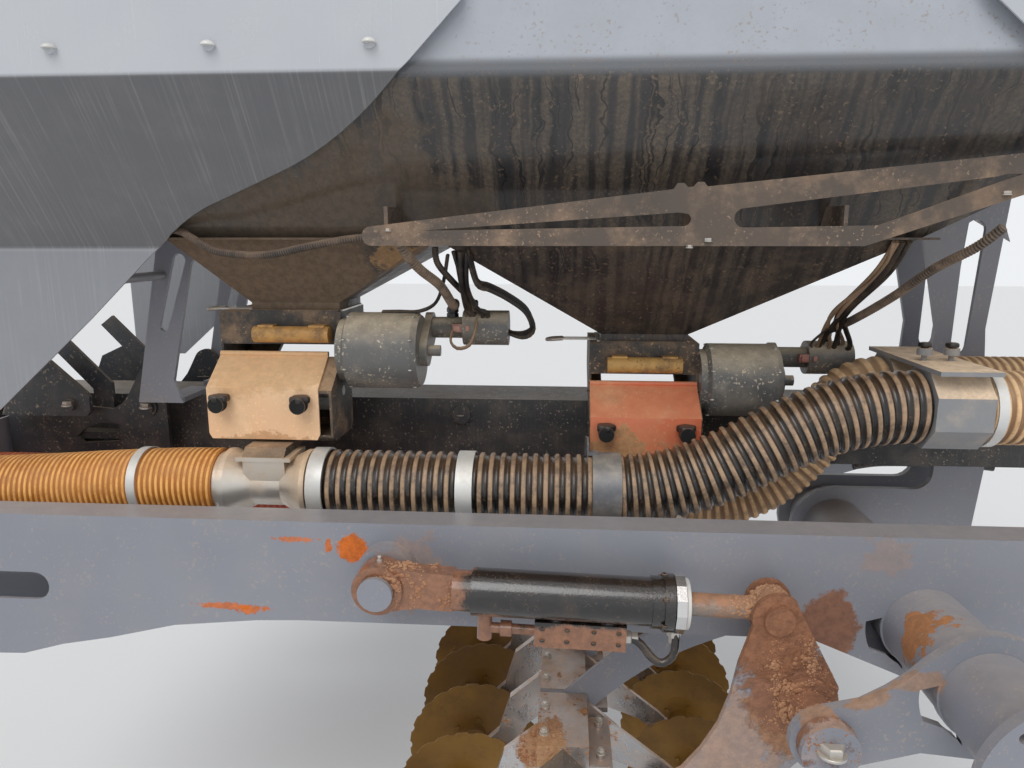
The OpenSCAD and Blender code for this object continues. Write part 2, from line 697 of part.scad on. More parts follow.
// Housing of a metering unit, from reach ahead of the outlet to side behind it.
// Its chute ends over the air line at y = ly and x = lx
module housing(reach, side, lx, ly) {
    x0 = unit_front_x - reach;
    unit_w = reach + side;
    z_top = outlet_front_z - gate_h;
    difference() {
        union() {
            plate_yz(x0, unit_w) polygon([[top_gap_y, z_top], [top_gap_y, flap_top_z],
                [front_y, flap_knee_z],
                [front_y, 50], [front_y + 26, 34], [house_back_y - 18, 34], [house_back_y, 52],
                    [house_back_y, 180],
                [back_y, 262], [back_y, z_top]]);
            translate([lx - inlet_half, 0, 0]) rotate([90, 0, 90]) linear_extrude(2 * inlet_half)
                polygon([[ly - inlet_half, inlet_top + seat_gap], [ly + inlet_half, inlet_top + seat_gap],
                         [max(ly + inlet_half, house_back_y - 10), 35],
                             [min(ly - inlet_half + 20, front_y + 60), 35]]);
        }
        // Room for the roller behind the flap
        plate_yz(x0 + house_wall, unit_w - 2 * house_wall)
            polygon([[front_y - 1, flap_knee_z - 8], [front_y - 1, 56],
            [front_y + 30, 44], [house_back_y - 24, 44], [house_back_y - 10, 60], [house_back_y - 10, 186],
            [back_y - 8, 270], [top_gap_y - 4, 270], [top_gap_y - 4, 228]]);
        // Way in from the outlet
        slab(unit_front_x - outlet_w / 2 + 10, unit_front_x + outlet_w / 2 - 10, -outlet_y + 10,
            -outlet_y + outlet_d - 10, 200, z_top + 1);
        rod_x(roller_y, roller_z, 13 + fit_gap, x0 + unit_w - house_wall - 1, x0 + unit_w + 1);
    }
    // Rails beside the slide gate, on which the unit hangs under the outlet
    for (y = [[top_gap_y, -outlet_y + 7.5], [-outlet_y + outlet_d - 7.5, back_y]])
        slab(unit_front_x - outlet_w / 2, unit_front_x + outlet_w / 2, y[0], y[1], z_top - 1,
            outlet_front_z);
}
roller_y = -306;
roller_z = 150;
roller_r = 52;
module meter_housings() {
    color(clay) {
        housing(reach_front, side_front, inj_front_x, -near_line_y);
        at_rear() housing(reach_rear, side_rear, inj_rear_x - unit_dx, -far_line_y - unit_shift);
    }
}
// Metering roller with its cells, on the shaft that the drive turns
module roller(reach, side) {
    x0 = unit_front_x - reach + house_wall + 8;
    x1 = unit_front_x + side - house_wall - 8;
    difference() {
        rod_x(roller_y, roller_z, roller_r, x0, x1);
        for (i = [0 : 11])
            rod_x(roller_y + (roller_r + 2) * cos(i * 30), roller_z + (roller_r + 2) * sin(i * 30), 10,
                x0 + 12, x1 - 12);
    }
    rod_x(roller_y, roller_z, 13, x1 - 1, unit_front_x + side - seat_gap);
    rod_x(roller_y, roller_z, 20, x0 - 8 + seat_gap, x0 + 1);
}
module meter_rollers() {
    color(light_paint) {
        roller(reach_front, side_front);
        at_rear() roller(reach_rear, side_rear);
    }
}
// Bar over the top of the flap
cover_r = 21;
cover_l = 196;
module cover_bar() {
    x0 = unit_front_x - cover_l / 2;
    difference() {
        rod_x(top_gap_y - cover_r - seat_gap, 298, cover_r, x0, x0 + cover_l);
        rod_x(top_gap_y - cover_r - seat_gap, 298, cover_r - 4, x0 - 1, x0 + 20);
    }
    slab(x0 + 12, x0 + 52, top_gap_y - 30, top_gap_y - seat_gap, 300, 322);
    slab(x0 + cover_l - 52, x0 + cover_l - 12, top_gap_y - 30, top_gap_y - seat_gap, 300, 322);
}
module roller_covers() {
    color(orange) {
        cover_bar();
        at_rear() cover_bar();
    }
}
// Drive of a metering unit: the round can, its gear case and the electric motor
can_y = -290;
can_z = 254;
motor_y = -210;
motor_z = 305;
motor_l = 120;
module drive(side) {
    x0 = unit_front_x + side;
    x1 = x0 + can_l;
    rotate_x(x0, can_y, can_z, [[0, 0], [can_r - 16, 0], [can_r - 16, 16], [can_r, 24],
        [can_r, can_l - 14], [can_r - 8, can_l], [0, can_l]]);
    hull() {
        rod_x(can_y, can_z, 40, x1 - 1, x1 + 18);
        rod_x(motor_y, motor_z, 40, x1 - 1, x1 + 18);
    }
    rod_x(motor_y, motor_z, 28, x1 + 17, x1 + 100);
    rod_x(motor_y, motor_z, motor_r, x1 + 99, x1 + 99 + motor_l);
    rod_x(can_y, can_z, 14, x1 + 17, x1 + 48);
}
// A profile of radius and length, turned about an axis along X
module rotate_x(x0, y, z, profile) {
    translate([x0, y, z]) rotate([0, 90, 0]) rotate_extrude() polygon(profile);
}
module meter_drives() {
    color(black) {
        drive(side_front);
        at_rear() drive(side_rear);
    }
}
// Flap over the front of a metering unit, with its two knobs
flap_t = 5;
flap_gap = 0.3;
// Bevels of a flap's lower corners, across and up; the rear one clears the rising hose as it opens
flap_bevel = [8, 16];
flap_hose_bevel = [140, 54];
flap_bottom = 44;
module flap(reach, far_bevel = flap_bevel) {
    x0 = unit_front_x - reach + 2;
    w = flap_w;
    run = (top_gap_y - front_y) / (flap_top_z - flap_knee_z);
    color(clay) {
        difference() {
            union() {
                plate_yz(x0, w) polygon([
                    [top_gap_y - 10, flap_top_z - 6 + flap_gap * 2],
                        [front_y - flap_gap, flap_knee_z + flap_gap],
                    [front_y - flap_gap, flap_bottom], [front_y - flap_gap - flap_t, flap_bottom],
                        [front_y - flap_gap - flap_t, flap_knee_z + 5],
                    [top_gap_y - 13, flap_top_z]]);
                rod_x(top_gap_y - 9, flap_top_z + 4, 7, x0, x0 + w);
            }
            plate_xz(front_y - flap_gap - flap_t - 1, flap_t + 2) {
                polygon([[x0 - 1, flap_bottom + flap_bevel[1]], [x0 - 1, flap_bottom - 1],
                         [x0 + flap_bevel[0], flap_bottom - 1]]);
                polygon([[x0 + w + 1, flap_bottom + far_bevel[1]], [x0 + w + 1, flap_bottom - 1],
                         [x0 + w - far_bevel[0], flap_bottom - 1]]);
            }
        }
    }
    for (x = [x0 + 40, x0 + w - 40]) {
        rod_y(x, 138, 9, front_y - flap_gap - flap_t - 26, front_y - flap_gap - 1);
        rod_y(x, 138, 20, front_y - flap_gap - flap_t - 40, front_y - flap_gap - flap_t - 18);
    }
}
module meter_flap_front() {
    flap(reach_front);
}
module meter_flap_rear() {
    at_rear() flap(reach_rear, flap_hose_bevel);
}
// Slide gate under an outlet, drawn out towards the front by its wire handle
// Its pull is narrow enough to pass beside the front leg
module gate() {
    z0 = outlet_front_z - seat_gap - gate_t;
    x0 = unit_front_x - outlet_w / 2 - 10;
    pull_far_y = -front_leg_y - 6;
    color(steel) {
        slab(x0, unit_front_x + outlet_w / 2 + 6, -outlet_y + 8, -outlet_y + outlet_d - 8, z0, z0 + gate_t);
        slab(x0 - 90, x0 + 1, -outlet_y + 40, -outlet_y + 46, z0, z0 + gate_t);
        slab(x0 - 90, x0 + 1, pull_far_y - 6, pull_far_y, z0, z0 + gate_t);
        slab(x0 - 96, x0 - 89, -outlet_y + 40, pull_far_y, z0, z0 + gate_t);
    }
}
module gate_front() {
    gate();
}
module gate_rear() {
    at_rear() gate();
}
// Venturi under a metering unit, where the seed meets the air
injector_half = 125;
module injector(x, y, z) {
    rotate_x(x - injector_half, y, z,
        [[0, 0], [spigot_r, 0], [spigot_r, 18], [hose_r, 18], [hose_r, 30], [56, 88], [56, 162],
        [hose_r, 220], [hose_r, 232], [spigot_r, 232], [spigot_r, 250], [0, 250]]);
    slab(x - inlet_half, x + inlet_half, y - inlet_half, y + inlet_half, z, inlet_top - line_z + z);
    slab(x - inlet_half - 16, x + inlet_half + 16, y - inlet_half - 4, y + inlet_half + 4,
         inlet_top - line_z + z - 10, inlet_top - line_z + z);
}
module injectors() {
    color(steel) {
        injector(inj_front_x, -near_line_y, line_z);
        injector(inj_rear_x, -far_line_y, far_line_z);
    }
}

// Straight ribbed hose along X
module ribbed_hose(y, z, x0, x1) {
    n = round((x1 - x0) / rib_pitch);
    p = (x1 - x0) / n;
    rotate_x(x0, y, z, concat([[0, 0]],
        [for (i = [0 : n - 1]) each [[hose_r - rib_depth, i * p], [hose_r, (i + 0.25) * p],
            [hose_r, (i + 0.6) * p],
                                     [hose_r - rib_depth, (i + 0.85) * p]]],
        [[hose_r - rib_depth, x1 - x0], [0, x1 - x0]]));
}
function bez(p, t) = pow(1 - t, 3) * p[0] + 3 * t * pow(1 - t, 2) * p[1] + 3 * t * t * (1 - t)
    * p[2] + pow(t, 3) * p[3];
function bez_dir(p, t) = pow(1 - t, 2) * (p[1] - p[0]) + 2 * t * (1 - t) * (p[2] - p[1])
    + t * t * (p[3] - p[2]);
function unit(v) = v / norm(v);
// Bent ribbed hose along a Bezier curve, as one skin with two rings to a rib
module bent_hose(p, n, sides = 18) {
    m = 2 * n;
    rings = [for (i = [0 : m])
        let (t = i / m, c = bez(p, t), d = unit(bez_dir(p, t)), b = unit(cross(d, [0, 1, 0])),
            a = cross(b, d),
             r = i % 2 == 0 ? hose_r - rib_depth : hose_r)
        [for (j = [0 : sides - 1]) c + r * (cos(j * 360 / sides) * a + sin(j * 360 / sides) * b)]];
    polyhedron(
        points = [for (ring = rings) each ring],
        faces = concat(
            [[for (j = [sides - 1 : -1 : 0]) j]],
            [[for (j = [0 : sides - 1]) m * sides + j]],
            [for (i = [0 : m - 1], j = [0 : sides - 1])
                let (k = (j + 1) % sides) each [
                    [i * sides + j, i * sides + k, (i + 1) * sides + k],
                    [i * sides + j, (i + 1) * sides + k, (i + 1) * sides + j]]]));
}
bulk_t = 10;
bulk_front_x = 50;
bulk_rear_x = spine_l - 90;
near_front_z = -105;
joint_x = 1807;
sel_x0 = 2522;
sel_x1 = 2646;
sel_z = 156;
collar = 18;
module hose_near_front() {
    x0 = bulk_front_x + bulk_t + seat_gap;
    x1 = inj_front_x - injector_half - seat_gap;
    color(orange) bent_hose([[x0, -near_line_y, near_front_z], [x0 + 300, -near_line_y, near_front_z],
                             [x1 - 260, -near_line_y, line_z], [x1, -near_line_y, line_z]], 28);
}
// Height of the near line's axis at x, in its sloping front hose
function near_line_at(x) = let (x0 = bulk_front_x + bulk_t, x1 = inj_front_x - injector_half,
    t = (x - x0) / (x1 - x0))
    mix(near_front_z, line_z, 3 * t * t - 2 * t * t * t);
module hose_near_middle() {
    color(black) ribbed_hose(-near_line_y, line_z, inj_front_x + injector_half + seat_gap,
        joint_x - seat_gap);
}
module hose_near_riser() {
    x0 = joint_x + seat_gap;
    x1 = sel_x0 - seat_gap;
    color(black) bent_hose([[x0, -near_line_y, line_z], [x0 + 330, -near_line_y, line_z],
                            [x1 - 330, -near_line_y, sel_z], [x1, -near_line_y, sel_z]], 28);
}
module hose_near_rear() {
    color(tan_hose) ribbed_hose(-near_line_y, sel_z, sel_x1 + seat_gap, bulk_rear_x - seat_gap);
}
module hose_far_front() {
    color(red) ribbed_hose(-far_line_y, far_line_z, bulk_front_x + bulk_t + seat_gap,
        inj_rear_x - injector_half - seat_gap);
}
module hose_far_riser() {
    x0 = inj_rear_x + injector_half + seat_gap;
    x1 = sel_x0 - seat_gap;
    color(tan_hose) bent_hose([[x0, -far_line_y, far_line_z], [x0 + 330, -far_line_y, far_line_z],
                               [x1 - 170, -far_line_y, sel_z], [x1, -far_line_y, sel_z]], 22);
}
module hose_far_rear() {
    color(tan_hose) ribbed_hose(-far_line_y, sel_z, sel_x1 + seat_gap, bulk_rear_x - seat_gap);
}
// Box that turns both lines to a second outlet, with its cover plate and knobs
sel_r = 98;
module selector_box() {
    color(light_paint) {
        for (y = [-near_line_y, -far_line_y])
            translate([sel_x0, y, sel_z]) rotate([0, 90, 0]) rotate([0, 0, 22.5])
                cylinder(r = sel_r, h = sel_x1 - sel_x0, $fn = 8);
        slab(sel_x0 - 4, sel_x1 + 6, -near_line_y - 96, -far_line_y + 84, sel_z + 88, sel_z + 98);
        slab(sel_x0 + 40, sel_x0 + 90, -far_line_y + 60, -spine_w / 2 + 60, sel_z - 10, sel_z + 4);
        slab(sel_x0 + 40, sel_x0 + 90, -spine_w / 2 + 40, -spine_w / 2 + 54, spine_top, sel_z + 4);
        for (x = [sel_x0 + 30, sel_x0 + 92]) {
            rod_z(x, -near_line_y + 60, 6, sel_z + 97, sel_z + 114);
            rod_z(x, -near_line_y + 60, 17, sel_z + 112, sel_z + 128);
        }
    }
}
// Clamps and bands round the hoses
module band(y, z, x0, x1, t = 5) {
    difference() {
        rod_x(y, z, hose_r + fit_gap + t, x0, x1);
        rod_x(y, z, hose_r + fit_gap, x0 - 1, x1 + 1);
    }
}
band_slack = 1;
clamp_x = 652;
module hose_clamps() {
    color(steel) {
        // Worm clamp on the sloping front hose, square to its run
        translate([clamp_x, -near_line_y, near_line_at(clamp_x)]) rotate([0, -3, 0]) difference() {
            rod_x(0, 0, hose_r + band_slack + 3, -11, 11);
            rod_x(0, 0, hose_r + band_slack, -12, 12);
        }
        band(-near_line_y, line_z, 1448, 1488, 3);
        // Strap from the grey band back to the side of the rear unit, past its flap
        strap_x = unit_rear_x - reach_rear - 10;
        slab(strap_x, joint_x - 20, -near_line_y - 12, -near_line_y + 12, line_z + hose_r + 3,
            line_z + hose_r + 11);
        plate_yz(strap_x, 5) polygon([[-near_line_y - 12, line_z + hose_r + 3],
            [-near_line_y + 12, line_z + hose_r + 3],
            [front_y + unit_shift, -20], [front_y + unit_shift + 30, -20], [front_y + unit_shift + 30, 24],
            [-near_line_y + 20, line_z + hose_r + 40], [-near_line_y - 12, line_z + hose_r + 30]]);
        rod_x(front_y + unit_shift + 17, 2, 9, strap_x + 4, unit_rear_x - reach_rear - seat_gap);
        band(-near_line_y, line_z, inj_front_x + injector_half - 12, inj_front_x + injector_half + 26);
        band(-near_line_y, line_z, joint_x - 34, joint_x + 34, 6);
        band(-far_line_y, far_line_z, inj_rear_x - injector_half - 26, inj_rear_x - injector_half + 12);
        band(-near_line_y, sel_z, sel_x1 + 8, sel_x1 + 30);
        band(-far_line_y, sel_z, sel_x1 + 8, sel_x1 + 30);
    }
}
// Plates that hold the ends of both lines, with spigots for the next hoses
spigot_l = 60;
module spigot(y, z, x0) {
    difference() {
        rod_x(y, z, spigot_r, x0, x0 + spigot_l);
        rod_x(y, z, spigot_r - 5, x0 - 1, x0 + spigot_l + 1);
    }
}
module air_bulkhead_front() {
    color(paint) {
        plate_yz(bulk_front_x, bulk_t) polygon([[-530, -250], [-spine_w / 2, -250], [-spine_w / 2, 20],
            [-530, 20]]);
        spigot(-near_line_y, near_front_z, bulk_front_x - spigot_l);
        spigot(-far_line_y, far_line_z, bulk_front_x - spigot_l);
    }
}
module air_bulkhead_rear() {
    color(paint) {
        plate_yz(bulk_rear_x, bulk_t) polygon([[-530, 50], [-spine_w / 2, 50],
            [-spine_w / 2, spine_top], [spine_w / 2, spine_top],
                                              [spine_w / 2, 150], [-60, 262], [-530, 262]]);
        spigot(-near_line_y, sel_z, bulk_rear_x + bulk_t);
        spigot(-far_line_y, sel_z, bulk_rear_x + bulk_t);
    }
}

// Cables and hydraulic hoses, each along a smooth curve through its points
cable_sides = 8;
function spline(p, i, t) = let (a = p[max(i - 1, 0)], b = p[i], c = p[i + 1], d = p[min(i + 2, len(p) - 1)])
    0.5 * (2 * b + (c - a) * t + (2 * a - 5 * b + 4 * c - d) * t * t + (3 * b - a - 3 * c + d) * t * t * t);
module cable(p, r, side = [0.13, 1, 0.07], steps = 3) {
    pts = concat([for (i = [0 : len(p) - 2], k = [0 : steps - 1]) spline(p, i, k / steps)],
        [p[len(p) - 1]]);
    m = len(pts) - 1;
    rings = [for (i = [0 : m])
        let (d = unit(pts[min(i + 1, m)] - pts[max(i - 1, 0)]), b = unit(cross(d, side)), a = cross(b, d))
        [for (j = [0 : cable_sides - 1]) pts[i] + r * (cos(j * 360 / cable_sides) * a + sin(j * 360 / cable_sides) * b)]];
    polyhedron(
        points = [for (ring = rings) each ring],
        faces = concat(
            [[for (j = [0 : cable_sides - 1]) j]],
            [[for (j = [cable_sides - 1 : -1 : 0]) m * cable_sides + j]],
            [for (i = [0 : m - 1], j = [0 : cable_sides - 1])
                let (k = (j + 1) % cable_sides) each [
                    [i * cable_sides + j, (i + 1) * cable_sides + k, i * cable_sides + k],
                    [i * cable_sides + j, (i + 1) * cable_sides + j, (i + 1) * cable_sides + k]]]));
}
loom_r = 9;
loom_z = 529 + loom_r + 1;
module harness() {
    color(black) {
        // Loom from the side sheet to the brace and along its flange
        cable([[660, -462, 572], [720, -463, 566], [785, -463, 558], [812, -466, 553],
               [850, -482, 536], [880, -491, 520], [923, -500, 506], [1035, -530, 502],
               [1148, -556, 522], [1250, -571, 538], [1330, -572, loom_z],
               [1500, -572, loom_z], [1900, -572, loom_z], [2290, -572, loom_z]], loom_r);
        // Conduits from the front funnel down to the front drive
        cable([[1325, -476, 548], [1330, -474, 520], [1345, -450, 490], [1366, -420, 462],
               [1400, -370, 425], [1420, -300, 372], [1416, -240, 372],
               [1405, motor_y, motor_z + 28 + 30]], 12, [1, 0.1, 0.05]);
        rod_z(1405, motor_y, 16, motor_z + 28 + seat_gap, motor_z + 28 + 36);
        cable([[1394, -400, 518], [1398, -392, 480], [1424, -350, 438], [1452, -272, 394],
               [1462, motor_y, motor_z + motor_r + 20]], 8, [1, 0.1, 0.05]);
        rod_z(1462, motor_y, 12, motor_z + motor_r + seat_gap, motor_z + motor_r + 26);
        // Conduit from the brace down to the rear drive
        cable([[2588, -560, 560], [2560, -520, 520], [2520, -430, 470], [2480, -330, 400],
            [2440, -200, 330],
               [2420, motor_y + unit_shift, motor_z + unit_dz + motor_r + 28]], 11, [1, 0.1, 0.05]);
        rod_z(2420, motor_y + unit_shift, 15, motor_z + unit_dz + motor_r + seat_gap,
            motor_z + unit_dz + motor_r + 34);
        // Hydraulic hose under the spine
        cable([[2540, -46, -108], [2600, -42, -99], [2660, -40, -96.8], [2720, -40, -96.6],
            [2780, -40, -96.6], [2840, -40, -96.8],
               [2930, -40, -106]], 10);
    }
}

crank_t = 14;
crank_in = 32;
shaft_end = outer_y + 22;
module rocker_shaft() {
    color(paint) {
        rod_y(shaft_x, shaft_z, shaft_r, -shaft_end, shaft_end);
        both_sides() {
            rod_y(shaft_x, shaft_z, shaft_r + 14, -shaft_end - 12, -outer_y - 1);
            rod_y(shaft_x, shaft_z, shaft_r + 14, -outer_y + outer_t + 1, -outer_y + outer_t + 14);
        }
    }
}
module crank_outline() {
    polygon(concat(arc([shaft_x, shaft_z], shaft_r + 26, 150, 400, 16),
        arc([rod_pin_x, rod_pin_z], pin_r + 20, 30, 190, 10), [[rod_pin_x - 20, rod_pin_z - 90]]));
}
// Outer plate of a crank, which runs on down to the tool bar as a curved blade
blade_collar = 62;
module blade_outline() {
    polygon(concat([[rod_pin_x + 42, rod_pin_z + 20], [shaft_x + 64, shaft_z + 38]],
        arc([shaft_x, shaft_z], shaft_r + 26, 20, -70, 8),
        [[shaft_x - 6, shaft_z - 140], [shaft_x - 90, shaft_z - 230], [shaft_x - 260, shaft_z - 330],
         [bar_x + blade_collar, bar_z - blade_collar], [bar_x - blade_collar, bar_z - blade_collar],
             [bar_x - blade_collar, bar_z + blade_collar - 20],
         [bar_x - blade_collar + 20, bar_z + blade_collar], [bar_x + 130, bar_z + 64],
             [shaft_x - 300, shaft_z - 206],
         [shaft_x - 243, shaft_z - 171], [shaft_x - 205, shaft_z - 121], [shaft_x - 172, shaft_z - 60],
             [shaft_x - 150, shaft_z + 11],
         [shaft_x - 138, shaft_z + 80], [rod_pin_x - 58, rod_pin_z - 50]],
             arc([rod_pin_x, rod_pin_z], 52, 200, 50, 10)));
}
crank_pin_r = 20;
module cranks() {
    color(paint) both_sides() difference() {
        union() {
            plate_xz(-cyl_y - crank_in - crank_t, crank_t) blade_outline();
            plate_xz(-cyl_y + crank_in, crank_t) crank_outline();
            rod_y(rod_pin_x, rod_pin_z, crank_pin_r, -cyl_y - crank_in - crank_t - 12,
                -cyl_y + crank_in + crank_t + 6);
            rod_y(rod_pin_x, rod_pin_z, crank_pin_r + 10, -cyl_y - crank_in - crank_t - 12,
                -cyl_y - crank_in - crank_t);
            rod_y(shaft_x, shaft_z, shaft_r + 16, -cyl_y - crank_in - crank_t - 20,
                -cyl_y - crank_in - crank_t + 1);
        }
        rod_y(shaft_x, shaft_z, shaft_r + fit_gap, -cyl_y - 80, -cyl_y + 60);
        bar_hole(-cyl_y - crank_in - crank_t - 1, -cyl_y - crank_in + 1, fit_gap);
    }
}
// Curved blade arms from the rocker shaft down to the tool bar
front_mid = -35;
rear_mid = front_mid + disc_pitch / 2;
function row_y(mid, i) = mid + (i - 3) * disc_pitch;
clamp_side = 124;
arm_t = 12;
arm_ys = [for (y = [-2, -1, 0, 1]) rear_mid + y * disc_pitch + 1];
arm_off = 8;
arm_half = 42;
arm_bow = 45;
module arm_outline() {
    dx = bar_x - shaft_x;
    dz = bar_z - shaft_z;
    l = norm([dx, dz]);
    n = [-dz / l, dx / l];
    function along(t) = [mix(shaft_x, bar_x, t), mix(shaft_z, bar_z, t)] - n * arm_bow * sin(180 * t);
    polygon(concat([for (i = [0 : 12]) along(i / 12) + n * arm_half],
                   [for (i = [12 : -1 : 0]) along(i / 12) - n * arm_half]));
    translate([shaft_x, shaft_z]) circle(r = shaft_r + 22);
    translate([bar_x, bar_z]) square(clamp_side, center = true);
}
module bar_hole(y0, y1, gap) {
    translate([bar_x, y1, bar_z]) rotate([90, 0, 0]) rotate([0, 0, 45])
        linear_extrude(y1 - y0) square(bar_side + 2 * gap, center = true);
}
module carrier_arms() {
    color(paint) for (y = arm_ys) difference() {
        plate_xz(y, arm_t) arm_outline();
        rod_y(shaft_x, shaft_z, shaft_r + fit_gap, y - 1, y + arm_t + 1);
        bar_hole(y - 1, y + arm_t + 1, fit_gap);
    }
}
bar_half = 770;
module tool_bar() {
    color(dark_paint) difference() {
        bar_hole(-bar_half, bar_half, 0);
        bar_hole(-bar_half - 1, bar_half + 1, -8);
    }
}
// The front row's clamps sit in line on the tool bar, and the rear row's arms stand in the gaps between them
clamp_gap = 30;
rear_arm_t = 14;
module spindle(x, y, yaw) {
    translate([x, y, disc_z]) rotate([0, 0, yaw]) rotate([90, 0, 0]) {
        cylinder(r = 30, h = 46);
        cylinder(r = 18, h = 92);
    }
}
module arm_profile(dx) {
    s = sign(dx);
    polygon(concat([[bar_x + s * 20, bar_z + 50], [bar_x + s * 70, bar_z + 40],
        [bar_x + s * 150, bar_z - 30], [bar_x + dx - s * 110, disc_z + 150],
        [bar_x + dx - s * 30, disc_z + 70]], arc([bar_x + dx, disc_z], 36, 90 - s * 40, 90 - s * 220, 8),
        [[bar_x + dx - s * 90, disc_z + 60], [bar_x + dx - s * 170, disc_z + 130],
            [bar_x + s * 100, bar_z - 110], [bar_x + s * 40, bar_z - 60]]));
}
module front_disc_arm(y) {
    w = disc_pitch - clamp_gap;
    difference() {
        union() {
            translate([bar_x, y + w / 2, bar_z]) rotate([90, 0, 0]) linear_extrude(w)
                square(clamp_side, center = true);
            plate_xz(y - 12, 24) arm_profile(row_front_x - bar_x);
            // Flange on the rear side of the clamp, with its bolts
            slab(bar_x + clamp_side / 2 - 1, bar_x + clamp_side / 2 + 58, y - w / 2 + 6, y + w / 2 - 6,
                bar_z - 6, bar_z + 8);
            for (k = [-1, 1]) rod_z(bar_x + clamp_side / 2 + 30, y + k * 60, 11, bar_z + 7, bar_z + 20);
            spindle(row_front_x, y, disc_yaw);
        }
        bar_hole(y - w, y + w, fit_gap);
    }
}
module rear_disc_arm(y) {
    difference() {
        union() {
            plate_xz(y - arm_off - rear_arm_t / 2, rear_arm_t) {
                translate([bar_x, bar_z]) square(clamp_side, center = true);
                arm_profile(row_rear_x - bar_x);
            }
            spindle(row_rear_x, y, -disc_yaw);
        }
        bar_hole(y - 50, y + 50, fit_gap);
    }
}
module disc_arms() {
    color(steel) for (i = [1 : 5]) {
        front_disc_arm(row_y(front_mid, i));
        rear_disc_arm(row_y(rear_mid, i));
    }
}
// A dished and scalloped disc with its hub; the disc lies in front of its arm
hub_off = 50;
hub_l = 50;
module disc(x, y, yaw) {
    translate([x, y, disc_z]) rotate([0, 0, yaw]) rotate([90, 0, 0]) {
        color(steel) difference() {
            rotate_extrude() polygon([[40, hub_off + 16], [90, hub_off + 16],
                [disc_r, hub_off + 16 + disc_dish],
                                      [disc_r, hub_off + 16 + disc_dish + disc_t * 0.6],
                                          [90, hub_off + 16 + disc_t], [40, hub_off + 16 + disc_t]]);
            for (i = [0 : scallops - 1])
                rotate([0, 0, i * 360 / scallops]) translate([disc_r + 14 - scallop_depth / 2, 0, hub_off])
                    cylinder(r = 17, h = 60, $fn = small_fn);
        }
        color(dark_paint) difference() {
            union() {
                translate([0, 0, hub_off]) cylinder(r = 44, h = hub_l);
                translate([0, 0, hub_off + hub_l - 1]) cylinder(r1 = 34, r2 = 24, h = 12);
                for (i = [0 : 4])
                    rotate([0, 0, i * 72]) translate([60, 0, hub_off + 16 + disc_t - 1])
                        cylinder(r = 8, h = 8, $fn = 6);
            }
            translate([0, 0, hub_off - 1]) cylinder(r = 18 + fit_gap, h = 44);
        }
    }
}
module disc_front_1() {
    disc(row_front_x, row_y(front_mid, 1), disc_yaw);
}
module disc_front_2() {
    disc(row_front_x, row_y(front_mid, 2), disc_yaw);
}
module disc_front_3() {
    disc(row_front_x, row_y(front_mid, 3), disc_yaw);
}
module disc_front_4() {
    disc(row_front_x, row_y(front_mid, 4), disc_yaw);
}
module disc_front_5() {
    disc(row_front_x, row_y(front_mid, 5), disc_yaw);
}
module disc_rear_1() {
    disc(row_rear_x, row_y(rear_mid, 1), -disc_yaw);
}
module disc_rear_2() {
    disc(row_rear_x, row_y(rear_mid, 2), -disc_yaw);
}
module disc_rear_3() {
    disc(row_rear_x, row_y(rear_mid, 3), -disc_yaw);
}
module disc_rear_4() {
    disc(row_rear_x, row_y(rear_mid, 4), -disc_yaw);
}
module disc_rear_5() {
    disc(row_rear_x, row_y(rear_mid, 5), -disc_yaw);
}

cyl_dx = rod_pin_x - base_x;
cyl_dz = rod_pin_z - base_z;
cyl_l = norm([cyl_dx, cyl_dz]);
cyl_tilt = -atan2(cyl_dz, cyl_dx);
// Its axis lies along X from the base pin, before it is turned to the rod's pin
module at_cylinder(y) {
    translate([base_x, y, base_z]) rotate([0, cyl_tilt, 0]) children();
}
eye_w = 30;
barrel_start = 200;
gland_l = 66;
cap_start = 160;
bore_r = 38;
module barrel() {
    difference() {
        union() {
            rod_y(0, 0, 54, -eye_w, eye_w);
            plate_xz(-22, 44) polygon([[20, -48], [84, -38], [cap_start + 2, -40], [cap_start + 2, 42],
                [96, 44], [24, 50]]);
            rod_x(0, 0, barrel_r - 7, cap_start, barrel_start + 1);
            rod_x(0, 0, barrel_r, barrel_start, barrel_start + barrel_l);
            rod_x(0, 0, barrel_r + 4, barrel_start + barrel_l - 1, barrel_start + barrel_l + 24);
            rod_x(0, 0, barrel_r + 10, barrel_start + barrel_l + 23, barrel_start + barrel_l + 44);
            rod_x(0, 0, barrel_r, barrel_start + barrel_l + 43, barrel_start + barrel_l + gland_l);
            // Valve block under the barrel, with the two ports
            slab(335, 528, -22, 22, -108, -52);
            for (x = [380, 490]) rod_z(x, 0, 18, -53, -barrel_r + 4);
            rod_z(228, 0, 16, -106, -barrel_r + 4);
            rod_x(0, -82, 11, 228, 336);
            rod_x(0, -82, 17, 262, 286);
        }
        rod_y(0, 0, pin_r + fit_gap, -eye_w - 1, eye_w + 1);
        rod_x(0, 0, bore_r, barrel_start + 24, barrel_start + barrel_l - 20);
        rod_x(0, 0, rod_r + fit_gap, barrel_start + barrel_l - 30, barrel_start + barrel_l + gland_l + 1);
    }
}
eye_gap = 7;
module piston_rod() {
    difference() {
        union() {
            rod_x(0, 0, rod_r, barrel_start + 190, cyl_l - 30);
            rod_x(0, 0, bore_r - fit_gap, barrel_start + 176, barrel_start + 216);
            rod_y(cyl_l, 0, 42, -26, 26);
        }
        rod_y(cyl_l, 0, crank_pin_r + eye_gap, -27, 27);
    }
}
module barrel_near() {
    color(black) at_cylinder(-cyl_y) barrel();
}
module barrel_far() {
    color(black) at_cylinder(cyl_y) barrel();
}
module rod_near() {
    color(steel) at_cylinder(-cyl_y) piston_rod();
}
module rod_far() {
    color(steel) at_cylinder(cyl_y) piston_rod();
}

